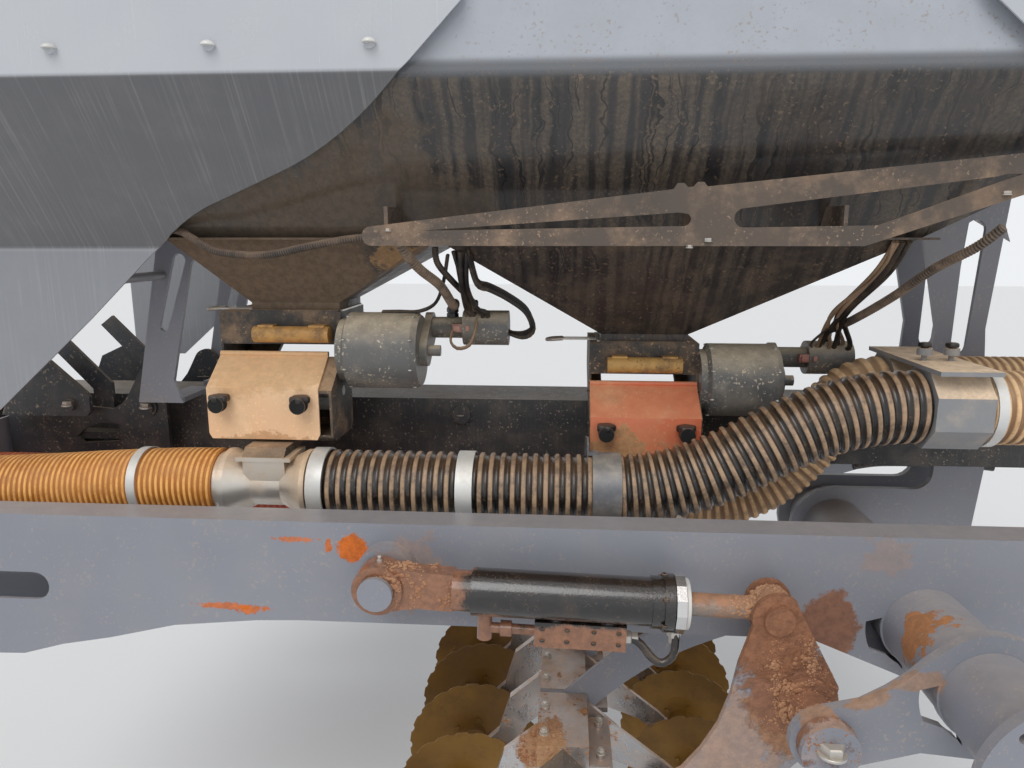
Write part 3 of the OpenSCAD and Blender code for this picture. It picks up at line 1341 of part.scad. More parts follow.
spine_beam();
hangers();
side_beams();
rear_cross_tube();
front_cross_tube();
outer_plates();
front_legs();
rear_legs();
head_plates();
braces();
hopper_tank();
hopper_funnel_front();
hopper_funnel_rear();
hopper_partition();
fairings_front();
fairings_rear();
meter_housings();
meter_rollers();
roller_covers();
meter_drives();
injectors();
hose_near_front();
hose_near_middle();
hose_near_riser();
hose_near_rear();
hose_far_front();
hose_far_riser();
hose_far_rear();
selector_box();
hose_clamps();
harness();
air_bulkhead_front();
air_bulkhead_rear();
lid_front();
lid_rear();
meter_flap_front();
meter_flap_rear();
gate_front();
gate_rear();
rocker_shaft();
cranks();
carrier_arms();
tool_bar();
disc_arms();
barrel_near();
barrel_far();
rod_near();
rod_far();
disc_front_1();
disc_front_2();
disc_front_3();
disc_front_4();
disc_front_5();
disc_rear_1();
disc_rear_2();
disc_rear_3();
disc_rear_4();
disc_rear_5();
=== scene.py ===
"""Looks of the seed drill hopper section: paint, dust, mud, rust, ribbed hoses, cables and fittings."""

import json
import logging
import math
import random
from dataclasses import dataclass
from enum import Enum
from typing import Callable, Iterable, Sequence

import bmesh
import bpy
from mathutils import Matrix, Vector

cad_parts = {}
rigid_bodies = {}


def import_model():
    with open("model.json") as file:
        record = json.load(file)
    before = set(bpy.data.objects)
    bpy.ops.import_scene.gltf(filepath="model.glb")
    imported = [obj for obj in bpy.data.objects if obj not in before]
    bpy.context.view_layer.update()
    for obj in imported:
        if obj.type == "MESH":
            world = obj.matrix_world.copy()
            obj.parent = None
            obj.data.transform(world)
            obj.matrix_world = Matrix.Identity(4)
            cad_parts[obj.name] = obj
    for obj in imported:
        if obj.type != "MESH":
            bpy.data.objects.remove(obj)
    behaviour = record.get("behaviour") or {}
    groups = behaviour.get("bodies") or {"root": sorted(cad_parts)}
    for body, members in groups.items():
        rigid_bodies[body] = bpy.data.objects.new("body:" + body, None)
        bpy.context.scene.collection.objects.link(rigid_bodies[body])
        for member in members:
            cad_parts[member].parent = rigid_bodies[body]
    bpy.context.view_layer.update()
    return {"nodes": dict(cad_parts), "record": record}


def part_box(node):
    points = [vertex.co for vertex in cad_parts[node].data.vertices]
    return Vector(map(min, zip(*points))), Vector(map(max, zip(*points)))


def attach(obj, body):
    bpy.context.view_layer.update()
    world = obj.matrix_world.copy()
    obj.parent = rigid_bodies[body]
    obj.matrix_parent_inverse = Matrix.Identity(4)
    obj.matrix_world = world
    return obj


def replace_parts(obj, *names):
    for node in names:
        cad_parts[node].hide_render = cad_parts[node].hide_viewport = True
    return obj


LOG = logging.getLogger("drill_section")
Colour = tuple[float, float, float]
Point = tuple[float, float, float]
Socket = bpy.types.NodeSocket
Material = bpy.types.Material
Mesh = bpy.types.Mesh
Piece = bpy.types.Object
MM = 0.001
SHARP_ANGLE = math.radians(38.0)


class Slot(Enum):
    """Material slots of the record that new pieces take their finish from."""

    FRAME = "frame_paint"
    STEEL = "bare_steel"
    ORANGE = "orange_hose"
    BLACK = "black_hose"
    TAN = "tan_hose"
    RED = "red_hose"
    CABLE = "cable_black"
    DRIVE = "drive_black"


class Maker:
    """Short calls for building a node tree."""

    def __init__(self, tree: bpy.types.NodeTree) -> None:
        """Keeps the tree that the calls add to."""
        self.tree = tree

    def add(self, kind: str, settings: dict[str, object] | None = None, **inputs: object) -> bpy.types.Node:
        """Adds a node, sets its properties, and sets or links its inputs.

        Args:
            kind: the node's type name.
            settings: properties of the node.
            **inputs: values or sockets by name; an underscore stands for a space.

        Returns:
            The new node.
        """
        node = self.tree.nodes.new(kind)
        for name, value in (settings or {}).items():
            setattr(node, name, value)
        for name, value in inputs.items():
            self.put(node.inputs[name.replace("_", " ")], value)
        return node

    def put(self, socket: Socket, value: object) -> None:
        """Sets a socket to a value, or links another socket to it.

        Args:
            socket: the input to set.
            value: a value or an output socket.
        """
        if isinstance(value, Socket):
            self.tree.links.new(value, socket)
        elif isinstance(value, tuple) and socket.type == "RGBA" and len(value) == 3:
            socket.default_value = (*value, 1.0)
        else:
            socket.default_value = value

    def vector(self, operation: str, *values: object) -> bpy.types.Node:
        """Adds a Vector Math node.

        Args:
            operation: its operation.
            *values: its vectors or sockets.

        Returns:
            The node.
        """
        node = self.add("ShaderNodeVectorMath", {"operation": operation})
        for socket, value in zip(node.inputs, values):
            self.put(socket, value)
        return node

    def math(self, operation: str, a: object, b: object = 0.0, c: object = 0.0,
             clamp: bool = False) -> Socket:
        """Adds a Math node.

        Args:
            operation: its operation.
            a: the first value or socket.
            b: the second value or socket.
            c: the third value or socket.
            clamp: whether the result is kept between 0 and 1.

        Returns:
            The result.
        """
        node = self.add("ShaderNodeMath", {"operation": operation, "use_clamp": clamp})
        for socket, value in zip(node.inputs, (a, b, c)):
            self.put(socket, value)
        return node.outputs[0]

    def times(self, product: object, *factors: object, clamp: bool = False) -> Socket:
        """Multiplies values.

        Args:
            product: the first value or socket.
            *factors: the others.
            clamp: whether the result is kept between 0 and 1.

        Returns:
            The product.
        """
        for i, factor in enumerate(factors, 1):
            product = self.math("MULTIPLY", product, factor, clamp=clamp and i == len(factors))
        return product


class ShaderMaker(Maker):
    """Short calls for building a shader tree."""

    def ramp(self, value: object, low: float, high: float, start: float = 0.0, end: float = 1.0) -> Socket:
        """Maps a value smoothly from one range to another.

        Args:
            value: the socket to map.
            low: where the result is start.
            high: where the result is end.
            start: the result at low.
            end: the result at high.

        Returns:
            The mapped value.
        """
        return self.add("ShaderNodeMapRange", {"interpolation_type": "SMOOTHSTEP"}, Value=value,
                        From_Min=low, From_Max=high, To_Min=start, To_Max=end).outputs[0]

    def mix(self, share: object, a: object, b: object) -> Socket:
        """Mixes two colours.

        Args:
            share: how much of b shows.
            a: the first colour or socket.
            b: the second colour or socket.

        Returns:
            The mixed colour.
        """
        node = self.add("ShaderNodeMix", {"data_type": "RGBA"})
        for i, value in ((0, share), (6, a), (7, b)):
            self.put(node.inputs[i], value)
        return node.outputs[2]

    def place(self) -> Socket:
        """Gives the piece's own coordinates."""
        coord = self.add("ShaderNodeTexCoord")
        return self.add("ShaderNodeMapping", Vector=coord.outputs["Object"]).outputs[0]

    def split(self, vector: Socket) -> tuple[Socket, ...]:
        """Gives the three parts of a vector."""
        return tuple(self.add("ShaderNodeSeparateXYZ", Vector=vector).outputs)

    def normal(self, name: str) -> tuple[Socket, ...]:
        """Gives the three parts of a normal, by its name."""
        return self.split(self.add("ShaderNodeNewGeometry").outputs[name])

    def noise(self, scale: float, detail: float = 4.0, where: Socket | None = None,
              roughness: float = 0.6) -> Socket:
        """Adds a noise texture.

        Args:
            scale: its scale, per metre.
            detail: its octaves.
            where: coordinates, or None for the piece's own.
            roughness: how strong the small octaves are.

        Returns:
            The noise's value.
        """
        vector = self.place() if where is None else where
        node = self.add("ShaderNodeTexNoise", Vector=vector, Scale=scale, Detail=detail, Roughness=roughness)
        return node.outputs[0]

    def lane(self) -> Socket:
        """Gives the place across a face, for marks that run down it.

        Returns:
            X on faces that look sideways, Y on faces that look along the machine.
        """
        along = self.math("ABSOLUTE", self.normal("True Normal")[0])
        x, y, _ = self.split(self.place())
        pick = self.ramp(along, 0.60, 0.61)
        return self.math("MULTIPLY_ADD", pick, self.math("SUBTRACT", y, x), x)

    def curtain(self, scale: float, stretch: float, sway: float = 0.0) -> Socket:
        """Adds noise that is drawn out into lines running down.

        Args:
            scale: scale across the lines, per metre.
            stretch: scale down the lines, as a share of the scale across.
            sway: how far the lines wander sideways, in metres.

        Returns:
            The noise's value.
        """
        across = self.lane()
        if sway:
            across = self.math("MULTIPLY_ADD", self.noise(9.0, 3.0), sway, across)
        down = self.math("MULTIPLY", self.split(self.place())[2], stretch)
        where = self.add("ShaderNodeCombineXYZ", X=across, Z=down)
        return self.noise(scale, 2.0, where.outputs[0], 0.5)

    def near(self, spot: "Spot") -> Socket:
        """Marks a ragged patch round a point.

        Args:
            spot: the patch.

        Returns:
            1 inside the patch, 0 outside.
        """
        gap = self.vector("SUBTRACT", self.place(), spot.centre).outputs[0]
        gap = self.vector("MULTIPLY", gap, spot.squeeze).outputs[0]
        length = self.vector("LENGTH", gap).outputs["Value"]
        wander = self.math("SUBTRACT", self.noise(spot.scale, 6.0, roughness=0.7), 0.5)
        wander = self.times(wander, spot.radius * spot.ragged * 4)
        reach = self.math("ADD", length, wander)
        return self.ramp(reach, spot.radius * 0.82, spot.radius, 1.0, 0.0)


@dataclass(frozen=True)
class Spot:
    """A patch of mud or rust round one point of a piece, or a patch of painted shadow."""

    centre: Point
    radius: float
    colour: Colour
    amount: float = 1.0
    ragged: float = 0.35
    scale: float = 14.0
    squeeze: Point = (1.0, 1.0, 1.0)


@dataclass(frozen=True)
class ToneBand:
    """A change of colour between two places along one axis: another paint, or painted light where a facet or
    bend is lit or shaded.
    """

    low: float
    high: float
    colour: Colour
    rough: float | None = None
    edge: float = 0.006
    axis: int = 2


@dataclass
class Surface:
    """A finish while it is built: its tree's maker, colour, roughness, bump and bare share."""

    n: ShaderMaker
    colour: object
    rough: object
    height: object = 0.0
    bare: object = 1.0

    def cover(self, mask: Socket, colour: object, rough: float) -> None:
        """Lays a colour over part of the surface.

        Args:
            mask: where it lies.
            colour: the colour or its socket.
            rough: how much rougher the surface is there.
        """
        self.colour = self.n.mix(mask, self.colour, colour)
        self.rough = self.n.math("MULTIPLY_ADD", mask, rough, self.rough, clamp=True)

    def thicken(self, mask: Socket, relief: Socket) -> None:
        """Raises a covered place, where no bare metal shows any more.

        Args:
            mask: where the cover lies.
            relief: its relief.
        """
        self.height = self.n.math("ADD", self.height, self.n.times(mask, relief))
        self.bare = self.n.times(self.bare, self.n.math("SUBTRACT", 1.0, mask, clamp=True))


def shade(colour: Colour, factor: float) -> Colour:
    """Gives a colour made darker or brighter."""
    return tuple(c * factor for c in colour)


MUD = (0.335, 0.148, 0.076)
DRY_MUD = (0.50, 0.285, 0.165)
RUST = (0.72, 0.170, 0.018)
FRAME_RUST = (0.50, 0.17, 0.035)


@dataclass(frozen=True)
class Finish:
    """A weathered finish: a base coat under dust, streaks, mud and rust, with painted light on some: lit and
    shaded tone bands, highlights on rib crests and shadow patches.
    """

    name: str
    base: Colour
    second: Colour | None = None
    rough: float = 0.5
    dust: Colour = (0.30, 0.22, 0.15)
    dust_amount: float = 0.3
    dust_scale: float = 9.0
    top_dust: float = 0.4
    streaks: float = 0.0
    streak_colour: Colour = (0.40, 0.36, 0.31)
    drips: float = 0.0
    drip_colour: Colour = (0.02, 0.02, 0.022)
    drip_top: float = 9.0
    speckle: float = 0.0
    rust: float = 0.0
    rust_colour: Colour = FRAME_RUST
    bump: float = 0.15
    metal: float = 0.0
    crest: Colour | None = None
    crest_share: float = 0.8
    crest_start: float = 0.45
    tone_bands: tuple[ToneBand, ...] = ()
    spots: tuple[Spot, ...] = ()
    specular: float = 0.5
    coat: float = 0.0

    def build(self) -> Material:
        """Builds the material.

        Returns:
            The new material.
        """
        material = bpy.data.materials.new(self.name)
        material.use_nodes = True
        tree = material.node_tree
        tree.nodes.clear()
        n = ShaderMaker(tree)
        shader = n.add("ShaderNodeBsdfPrincipled", Specular_IOR_Level=self.specular, Coat_Weight=self.coat,
                       Coat_Roughness=0.12)
        n.add("ShaderNodeOutputMaterial", Surface=shader.outputs[0])
        grain = n.noise(190.0, 3.0)
        fine = n.noise(self.dust_scale, 8.0, roughness=0.7)
        face = self.base_coat(n, fine)
        if self.streaks:
            self.streak(face)
        if self.drips:
            self.drip(face)
        self.settle_dust(face, fine, grain)
        if self.rust:
            self.scatter_rust(face)
        for spot in self.spots:
            self.patch(face, spot)
        if self.metal:
            n.put(shader.inputs["Metallic"], n.times(face.bare, self.metal))
        bump = n.add("ShaderNodeBump", Strength=self.bump, Distance=0.004, Height=face.height)
        for name, value in (("Base Color", face.colour), ("Roughness", face.rough),
                            ("Normal", bump.outputs[0])):
            n.put(shader.inputs[name], value)
        return material

    def base_coat(self, n: ShaderMaker, fine: Socket) -> Surface:
        """Lays the base coat, with its wide tone changes, tone bands and rib crests; the bands on the hopper
        and side sheet are painted light, and the hose crests are painted highlight with some dust.

        Args:
            n: the tree's maker.
            fine: fine noise for the roughness.

        Returns:
            The surface.
        """
        second = self.second or shade(self.base, 0.8)
        face = Surface(n, n.mix(n.ramp(n.noise(2.3, 3.0), 0.35, 0.65), self.base, second),
                       n.math("MULTIPLY_ADD", fine, 0.16, self.rough - 0.08))
        axes = n.split(n.place()) if self.tone_bands else ()
        # On the hopper and the side sheet these bands are painted light: lit and shaded facets and a bend
        # highlight.
        for tone_band in self.tone_bands:
            height = axes[tone_band.axis]
            above = n.ramp(height, tone_band.low - tone_band.edge, tone_band.low + tone_band.edge)
            below = n.ramp(height, tone_band.high - tone_band.edge, tone_band.high + tone_band.edge, 1.0, 0.0)
            inside = n.times(above, below)
            face.colour = n.mix(inside, face.colour, tone_band.colour)
            if tone_band.rough is not None:
                change = n.math("SUBTRACT", tone_band.rough, face.rough)
                face.rough = n.math("MULTIPLY_ADD", inside, change, face.rough)
        # Rib crests: on the hoses the lighter crest colour is painted highlight, with dust on the black
        # hose, and the darker base between ribs is painted shade in the valleys; on the loom and conduits it
        # is dust.
        if self.crest:
            crest = n.add("ShaderNodeAttribute", {"attribute_name": "crest"}).outputs["Fac"]
            broken = n.ramp(n.noise(26.0, 6.0, roughness=0.7), 0.30, 0.62, 0.2, 1.0)
            share = n.times(n.ramp(crest, self.crest_start, 0.97), broken, self.crest_share)
            face.cover(share, self.crest, 0.35)
        return face

    def streak(self, face: Surface) -> None:
        """Adds pale rain streaks.

        Args:
            face: the surface so far.
        """
        n = face.n
        lines = n.ramp(n.curtain(150.0, 0.022), 0.48, 0.78)
        lines = n.times(lines, n.ramp(n.noise(7.0, 4.0), 0.30, 0.62, 0.2, 1.0), self.streaks, clamp=True)
        face.cover(lines, self.streak_colour, 0.2)

    def drip(self, face: Surface) -> None:
        """Adds a film of spray with dark drips that ran down through it.

        Args:
            face: the surface so far.
        """
        n = face.n
        below = n.ramp(n.split(n.place())[2], self.drip_top - 0.012, self.drip_top, 1.0, 0.0)
        film = n.ramp(n.noise(2.4, 5.0), 0.30, 0.60, 0.25, 1.0)
        film = n.times(film, n.ramp(n.curtain(48.0, 0.045, 0.02), 0.40, 0.60, 0.12, 1.0))
        spray = n.ramp(n.noise(130.0, 4.0, roughness=0.7), 0.40, 0.62)
        spray = n.math("MULTIPLY_ADD", spray, 0.5, 0.5)
        face.cover(n.times(spray, film, below, self.drips, clamp=True), self.streak_colour, 0.35)
        path = n.math("ABSOLUTE", n.math("SUBTRACT", n.curtain(22.0, 0.05, 0.10), 0.50))
        line = n.times(n.ramp(path, 0.006, 0.020, 1.0, 0.0), below, n.ramp(n.noise(4.0, 3.0), 0.36, 0.52),
                       0.9)
        face.colour = n.mix(line, face.colour, self.drip_colour)

    def settle_dust(self, face: Surface, fine: Socket, grain: Socket) -> None:
        """Lays settled dust on top faces, and patches and dots of it elsewhere.

        Args:
            face: the surface so far.
            fine: noise of the patches.
            grain: noise of the grains.
        """
        n = face.n
        settled = n.times(n.ramp(n.normal("Normal")[2], 0.15, 0.95), self.top_dust)
        patches = n.times(n.ramp(fine, 0.42, 0.68), self.dust_amount)
        veil = n.math("ADD", settled, patches, clamp=True)
        veil = n.times(veil, n.ramp(grain, 0.2, 0.6, 0.75, 1.0), clamp=True)
        bright = shade(self.dust, 1.4)
        pale = tuple(min(1.0, c) for c in bright)
        face.cover(veil, n.mix(n.ramp(n.noise(31.0, 5.0), 0.3, 0.7), self.dust, pale), 0.35)
        if self.speckle:
            dots = n.ramp(n.noise(120.0, 2.0), 0.60, 0.66)
            dots = n.times(dots, n.ramp(n.noise(11.0, 3.0), 0.4, 0.6), self.speckle, clamp=True)
            face.colour = n.mix(dots, face.colour, bright)
        face.height = n.math("MULTIPLY_ADD", veil, 0.5, n.times(grain, 0.35))
        face.bare = n.math("SUBTRACT", 1.0, veil, clamp=True)

    def scatter_rust(self, face: Surface) -> None:
        """Adds scattered rust.

        Args:
            face: the surface so far.
        """
        n = face.n
        edge = 0.80 - 0.42 * self.rust
        mask = n.ramp(n.noise(14.0, 9.0, roughness=0.75), edge, edge + 0.07)
        tone = n.ramp(n.noise(70.0, 4.0), 0.35, 0.65)
        face.cover(mask, n.mix(tone, self.rust_colour, shade(self.rust_colour, 0.45)), 0.3)
        face.thicken(mask, n.noise(160.0, 3.0))

    @staticmethod
    def patch(face: Surface, spot: Spot) -> None:
        """Adds one patch of mud or rust, or of painted shadow.

        Args:
            face: the surface so far.
            spot: the patch.
        """
        n = face.n
        mask = n.times(n.near(spot), spot.amount)
        tone = n.ramp(n.noise(55.0, 5.0, roughness=0.7), 0.34, 0.68)
        face.cover(mask, n.mix(tone, shade(spot.colour, 0.68), spot.colour), 0.4)
        face.thicken(mask, n.math("MULTIPLY_ADD", n.noise(75.0, 5.0), 2.2, 0.6))


class GeoTree(Maker):
    """A Geometry Nodes tree with named inputs, run once and turned into a plain mesh."""

    def __init__(self, name: str) -> None:
        """Starts an empty tree.

        Args:
            name: the tree's name.
        """
        super().__init__(bpy.data.node_groups.new(name, "GeometryNodeTree"))
        for way in ("INPUT", "OUTPUT"):
            self.tree.interface.new_socket("Geometry", in_out=way, socket_type="NodeSocketGeometry")
        self.inlet = self.add("NodeGroupInput")
        self.outlet = self.add("NodeGroupOutput")
        self.ids: dict[str, str] = {}

    def input(self, name: str, kind: str = "Float") -> Socket:
        """Adds a named input.

        Args:
            name: the input's name.
            kind: Float, Int, Vector, Material or Object.

        Returns:
            The socket that gives it inside the tree.
        """
        socket = self.tree.interface.new_socket(name, in_out="INPUT", socket_type=f"NodeSocket{kind}")
        self.ids[name] = socket.identifier
        return self.inlet.outputs[name]

    def carried(self, name: str, kind: str = "FLOAT") -> Socket:
        """Reads a named attribute of the given kind."""
        return self.add("GeometryNodeInputNamedAttribute", {"data_type": kind}, Name=name).outputs[0]

    def end(self, geometry: Socket, material: Socket, smooth: bool = True) -> None:
        """Closes the tree: real geometry, shading and material.

        Args:
            geometry: what the tree makes.
            material: the material input.
            smooth: whether faces are smooth.
        """
        real = self.add("GeometryNodeRealizeInstances", Geometry=geometry).outputs[0]
        if smooth:
            real = self.add("GeometryNodeSetShadeSmooth", Geometry=real).outputs[0]
        done = self.add("GeometryNodeSetMaterial", Geometry=real, Material=material)
        self.put(self.outlet.inputs[0], done.outputs[0])

    def run(self, source: Piece, name: str, **values: object) -> Piece:
        """Runs the tree on an object and keeps the result as a plain mesh.

        Args:
            source: the object that carries the input; it is removed.
            name: the new piece's name.
            **values: the inputs by name.

        Returns:
            The new object, at the origin.
        """
        modifier = source.modifiers.new("make", "NODES")
        modifier.node_group = self.tree
        for key, value in values.items():
            modifier[self.ids[key]] = value
        graph = bpy.context.evaluated_depsgraph_get()
        graph.update()
        made = source.evaluated_get(graph)
        mesh = bpy.data.meshes.new_from_object(made, preserve_all_data_layers=True, depsgraph=graph)
        source.modifiers.remove(modifier)
        bpy.data.objects.remove(source)
        mesh.name = name
        return place(name, mesh)


class RibTree(GeoTree):
    """A tube of given radius along a curve, with rounded ribs; its crests carry the attribute crest."""

    def __init__(self) -> None:
        """Builds the tree."""
        super().__init__("ribbed_tube")
        radius, pitch, depth = (self.input(name) for name in ("Radius", "Pitch", "Depth"))
        sides, samples = (self.input(name, "Int") for name in ("Sides", "Samples"))
        material = self.input("Material", "Material")
        curve = self.inlet.outputs["Geometry"]
        length = self.add("GeometryNodeCurveLength", Curve=curve).outputs[0]
        ribs = self.math("ROUND", self.math("DIVIDE", length, pitch))
        count = self.math("MULTIPLY_ADD", ribs, samples, 1.0)
        even = self.add("GeometryNodeResampleCurve", Curve=curve, Count=count).outputs[0]
        factor = self.add("GeometryNodeSplineParameter").outputs["Factor"]
        wave = self.math("COSINE", self.times(factor, ribs, math.tau))
        wave = self.math("MULTIPLY_ADD", wave, -0.5, 0.5)
        crest = self.add("ShaderNodeMapRange", {"interpolation_type": "SMOOTHSTEP"}, Value=wave,
                         From_Min=0.12, From_Max=0.72).outputs[0]
        rib_radius = self.math("MULTIPLY_ADD", crest, depth, self.math("SUBTRACT", radius, depth))
        marked = self.add("GeometryNodeStoreNamedAttribute", {"data_type": "FLOAT", "domain": "POINT"},
                          Geometry=even, Name="crest", Value=crest)
        swept = self.add("GeometryNodeSetCurveRadius", Curve=marked.outputs[0], Radius=rib_radius).outputs[0]
        ring = self.add("GeometryNodeCurvePrimitiveCircle", Resolution=sides, Radius=1.0).outputs[0]
        skin = self.add("GeometryNodeCurveToMesh", Curve=swept, Profile_Curve=ring, Fill_Caps=True)
        if "Scale" in skin.inputs:
            self.put(skin.inputs["Scale"], rib_radius)
        self.end(skin.outputs[0], material)


class ScatterTree(GeoTree):
    """Upright copies of a template object at points that carry a turn and a size."""

    def __init__(self) -> None:
        """Builds the tree."""
        super().__init__("set_fasteners")
        template = self.input("Template", "Object")
        material = self.input("Material", "Material")
        shape = self.add("GeometryNodeObjectInfo", Object=template).outputs["Geometry"]
        turn, size = self.carried("turn"), self.carried("size")
        spin = self.add("FunctionNodeAxisAngleToRotation", Axis=(0.0, 0.0, 1.0), Angle=turn).outputs[0]
        scale = self.add("ShaderNodeCombineXYZ", X=size, Y=size, Z=size).outputs[0]
        copies = self.add("GeometryNodeInstanceOnPoints", Points=self.inlet.outputs["Geometry"],
                          Instance=shape, Rotation=spin, Scale=scale)
        self.end(copies.outputs[0], material, smooth=False)


class ClodTree(GeoTree):
    """Lumps of dried mud, strewn over a surface inside a ball round one point."""

    def __init__(self) -> None:
        """Builds the tree; points where a lump would have no size get none."""
        super().__init__("strew_clods")
        density, reach, size = (self.input(name) for name in ("Density", "Reach", "Size"))
        seed = self.input("Seed", "Int")
        centre = self.input("Centre", "Vector")
        material = self.input("Material", "Material")
        position = self.add("GeometryNodeInputPosition").outputs[0]
        gap = self.vector("DISTANCE", position, centre).outputs["Value"]
        share = self.math("DIVIDE", gap, reach)
        fade = self.add("ShaderNodeMapRange", Value=share, From_Min=0.35, To_Min=1.0, To_Max=0.0).outputs[0]
        drift = self.add("ShaderNodeTexNoise", Scale=22.0, Detail=3.0).outputs[0]
        heap = self.add("ShaderNodeMapRange", Value=drift, From_Min=0.42, From_Max=0.62).outputs[0]
        spread = self.add("GeometryNodeDistributePointsOnFaces", Mesh=self.inlet.outputs["Geometry"],
                          Density=density, Seed=seed)
        ball = self.add("GeometryNodeMeshIcoSphere", Radius=1.0, Subdivisions=2).outputs["Mesh"]
        uneven = self.add("ShaderNodeTexNoise", Scale=1.3, Detail=2.0).outputs["Color"]
        push = self.vector("MULTIPLY_ADD", uneven, (0.9, 0.9, 0.9), (-0.45, -0.45, -0.45))
        lump = self.add("GeometryNodeSetPosition", Geometry=ball, Offset=push.outputs[0]).outputs[0]
        wild = self.add("FunctionNodeRandomValue", {"data_type": "FLOAT"}, Seed=seed)
        wild.inputs[2].default_value = 0.35
        wild.inputs[3].default_value = 1.0
        width = self.times(self.times(wild.outputs[1], size), self.times(fade, heap))
        shape = self.add("ShaderNodeCombineXYZ", X=width, Y=width, Z=self.times(width, 0.45)).outputs[0]
        grown = self.add("FunctionNodeCompare", {"data_type": "FLOAT", "operation": "GREATER_THAN"},
                         A=width, B=0.0)
        copies = self.add("GeometryNodeInstanceOnPoints", Points=spread.outputs["Points"], Instance=lump,
                          Selection=grown.outputs[0], Rotation=spread.outputs["Rotation"], Scale=shape)
        self.end(copies.outputs[0], material)


def place(name: str, data: bpy.types.ID) -> Piece:
    """Puts a mesh, curve, lamp or camera in the scene.

    Args:
        name: the object's name.
        data: what it shows.

    Returns:
        The new object.
    """
    thing = bpy.data.objects.new(name, data)
    bpy.context.scene.collection.objects.link(thing)
    return thing


def settle(piece: Piece, body: str) -> Piece:
    """Makes a finished piece ride on its body.

    Args:
        piece: the piece.
        body: the CAD body's name.

    Returns:
        The piece.
    """
    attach(piece, body)
    LOG.info("%s on %s: %d faces", piece.name, body, len(piece.data.polygons))
    return piece


def new_piece(mesh: Mesh, material: Material, body: str) -> Piece:
    """Puts a mesh in the scene as a piece with the mesh's name.

    Args:
        mesh: its mesh.
        material: its finish.
        body: the CAD body that it rides on.

    Returns:
        The piece.
    """
    mesh.materials.clear()
    mesh.materials.append(material)
    return settle(place(mesh.name, mesh), body)


def curve_object(name: str, points: Sequence[Point]) -> Piece:
    """Makes a poly curve through points.

    Args:
        name: the object's name.
        points: its points.

    Returns:
        The curve object.
    """
    data = bpy.data.curves.new(name, "CURVE")
    data.dimensions = "3D"
    spline = data.splines.new("POLY")
    spline.points.add(len(points) - 1)
    for slot, point in zip(spline.points, points):
        slot.co = (*point, 1.0)
    return place(name, data)


def bezier(ends: Sequence[Vector], steps: int = 60) -> list[Vector]:
    """Gives points along a cubic Bezier curve.

    Args:
        ends: its four points.
        steps: how many stretches.

    Returns:
        The points.
    """
    a, b, c, d = ends
    result = []
    for i in range(steps + 1):
        t = i / steps
        s = 1.0 - t
        result.append(a * s ** 3 + b * 3 * t * s * s + c * 3 * t * t * s + d * t ** 3)
    return result


def smooth_path(points: Sequence[Point], steps: int = 8) -> list[Vector]:
    """Gives a smooth curve through points, as the CAD cables have.

    Args:
        points: points in metres.
        steps: stretches between two points.

    Returns:
        The points of the curve.
    """
    p = [Vector(q) for q in points]
    last = len(p) - 1
    result = []
    for i in range(last):
        a, b, c, d = p[max(i - 1, 0)], p[i], p[i + 1], p[min(i + 2, last)]
        bend, twist = 2 * a - 5 * b + 4 * c - d, 3 * b - a - 3 * c + d
        for k in range(steps):
            t = k / steps
            result.append(0.5 * (2 * b + (c - a) * t + bend * t * t + twist * t ** 3))
    return [*result, p[last]]


def metres(point: Point) -> Point:
    """Turns a point in millimetres into metres."""
    return tuple(v * MM for v in point)


def close(name: str, shape: bmesh.types.BMesh) -> Mesh:
    """Turns an open bmesh into a mesh, and frees it.

    Args:
        name: the mesh's name.
        shape: the open bmesh.

    Returns:
        The mesh.
    """
    mesh = bpy.data.meshes.new(name)
    shape.to_mesh(mesh)
    shape.free()
    return mesh


def smoothed(mesh: Mesh) -> Mesh:
    """Smooths a mesh between its sharp edges.

    Args:
        mesh: the mesh to smooth.

    Returns:
        The same mesh.
    """
    mesh.polygons.foreach_set("use_smooth", [True] * len(mesh.polygons))
    mesh.set_sharp_from_angle(angle=SHARP_ANGLE)
    return mesh


def merge(name: str, parts: Iterable[Mesh]) -> Mesh:
    """Joins several meshes into one.

    Args:
        name: the new mesh's name.
        parts: the meshes; they are removed.

    Returns:
        The mesh.
    """
    whole = bmesh.new()
    for part in parts:
        whole.from_mesh(part)
        bpy.data.meshes.remove(part)
    return close(name, whole)


def lathe(name: str, profile: Sequence[tuple[float, float]], sides: int = 24, flat: bool = False,
          swell: Callable[[float], float] | None = None) -> Mesh:
    """Turns a profile about Z into a closed mesh.

    Args:
        name: the mesh's name.
        profile: radius and height in millimetres, from the bottom's centre to the top's centre.
        sides: how many sides.
        flat: whether faces stay flat.
        swell: factor on the radius by angle.

    Returns:
        The mesh, in metres.
    """
    shape = bmesh.new()
    rings: list[list[bmesh.types.BMVert]] = []
    for radius, height in profile:
        if radius <= 0.0:
            rings.append([shape.verts.new((0.0, 0.0, height * MM))])
            continue
        ring = []
        for i in range(sides):
            angle = math.tau * i / sides
            r = radius * MM * (swell(angle) if swell else 1.0)
            ring.append(shape.verts.new((r * math.cos(angle), r * math.sin(angle), height * MM)))
        rings.append(ring)
    for low, high in zip(rings, rings[1:]):
        for i in range(sides):
            k = (i + 1) % sides
            corners = (low[i % len(low)], low[k % len(low)], high[k % len(high)], high[i % len(high)])
            corners = list(dict.fromkeys(corners))
            if len(corners) > 2:
                shape.faces.new(corners)
    bmesh.ops.recalc_face_normals(shape, faces=shape.faces[:])
    mesh = close(name, shape)
    return mesh if flat else smoothed(mesh)


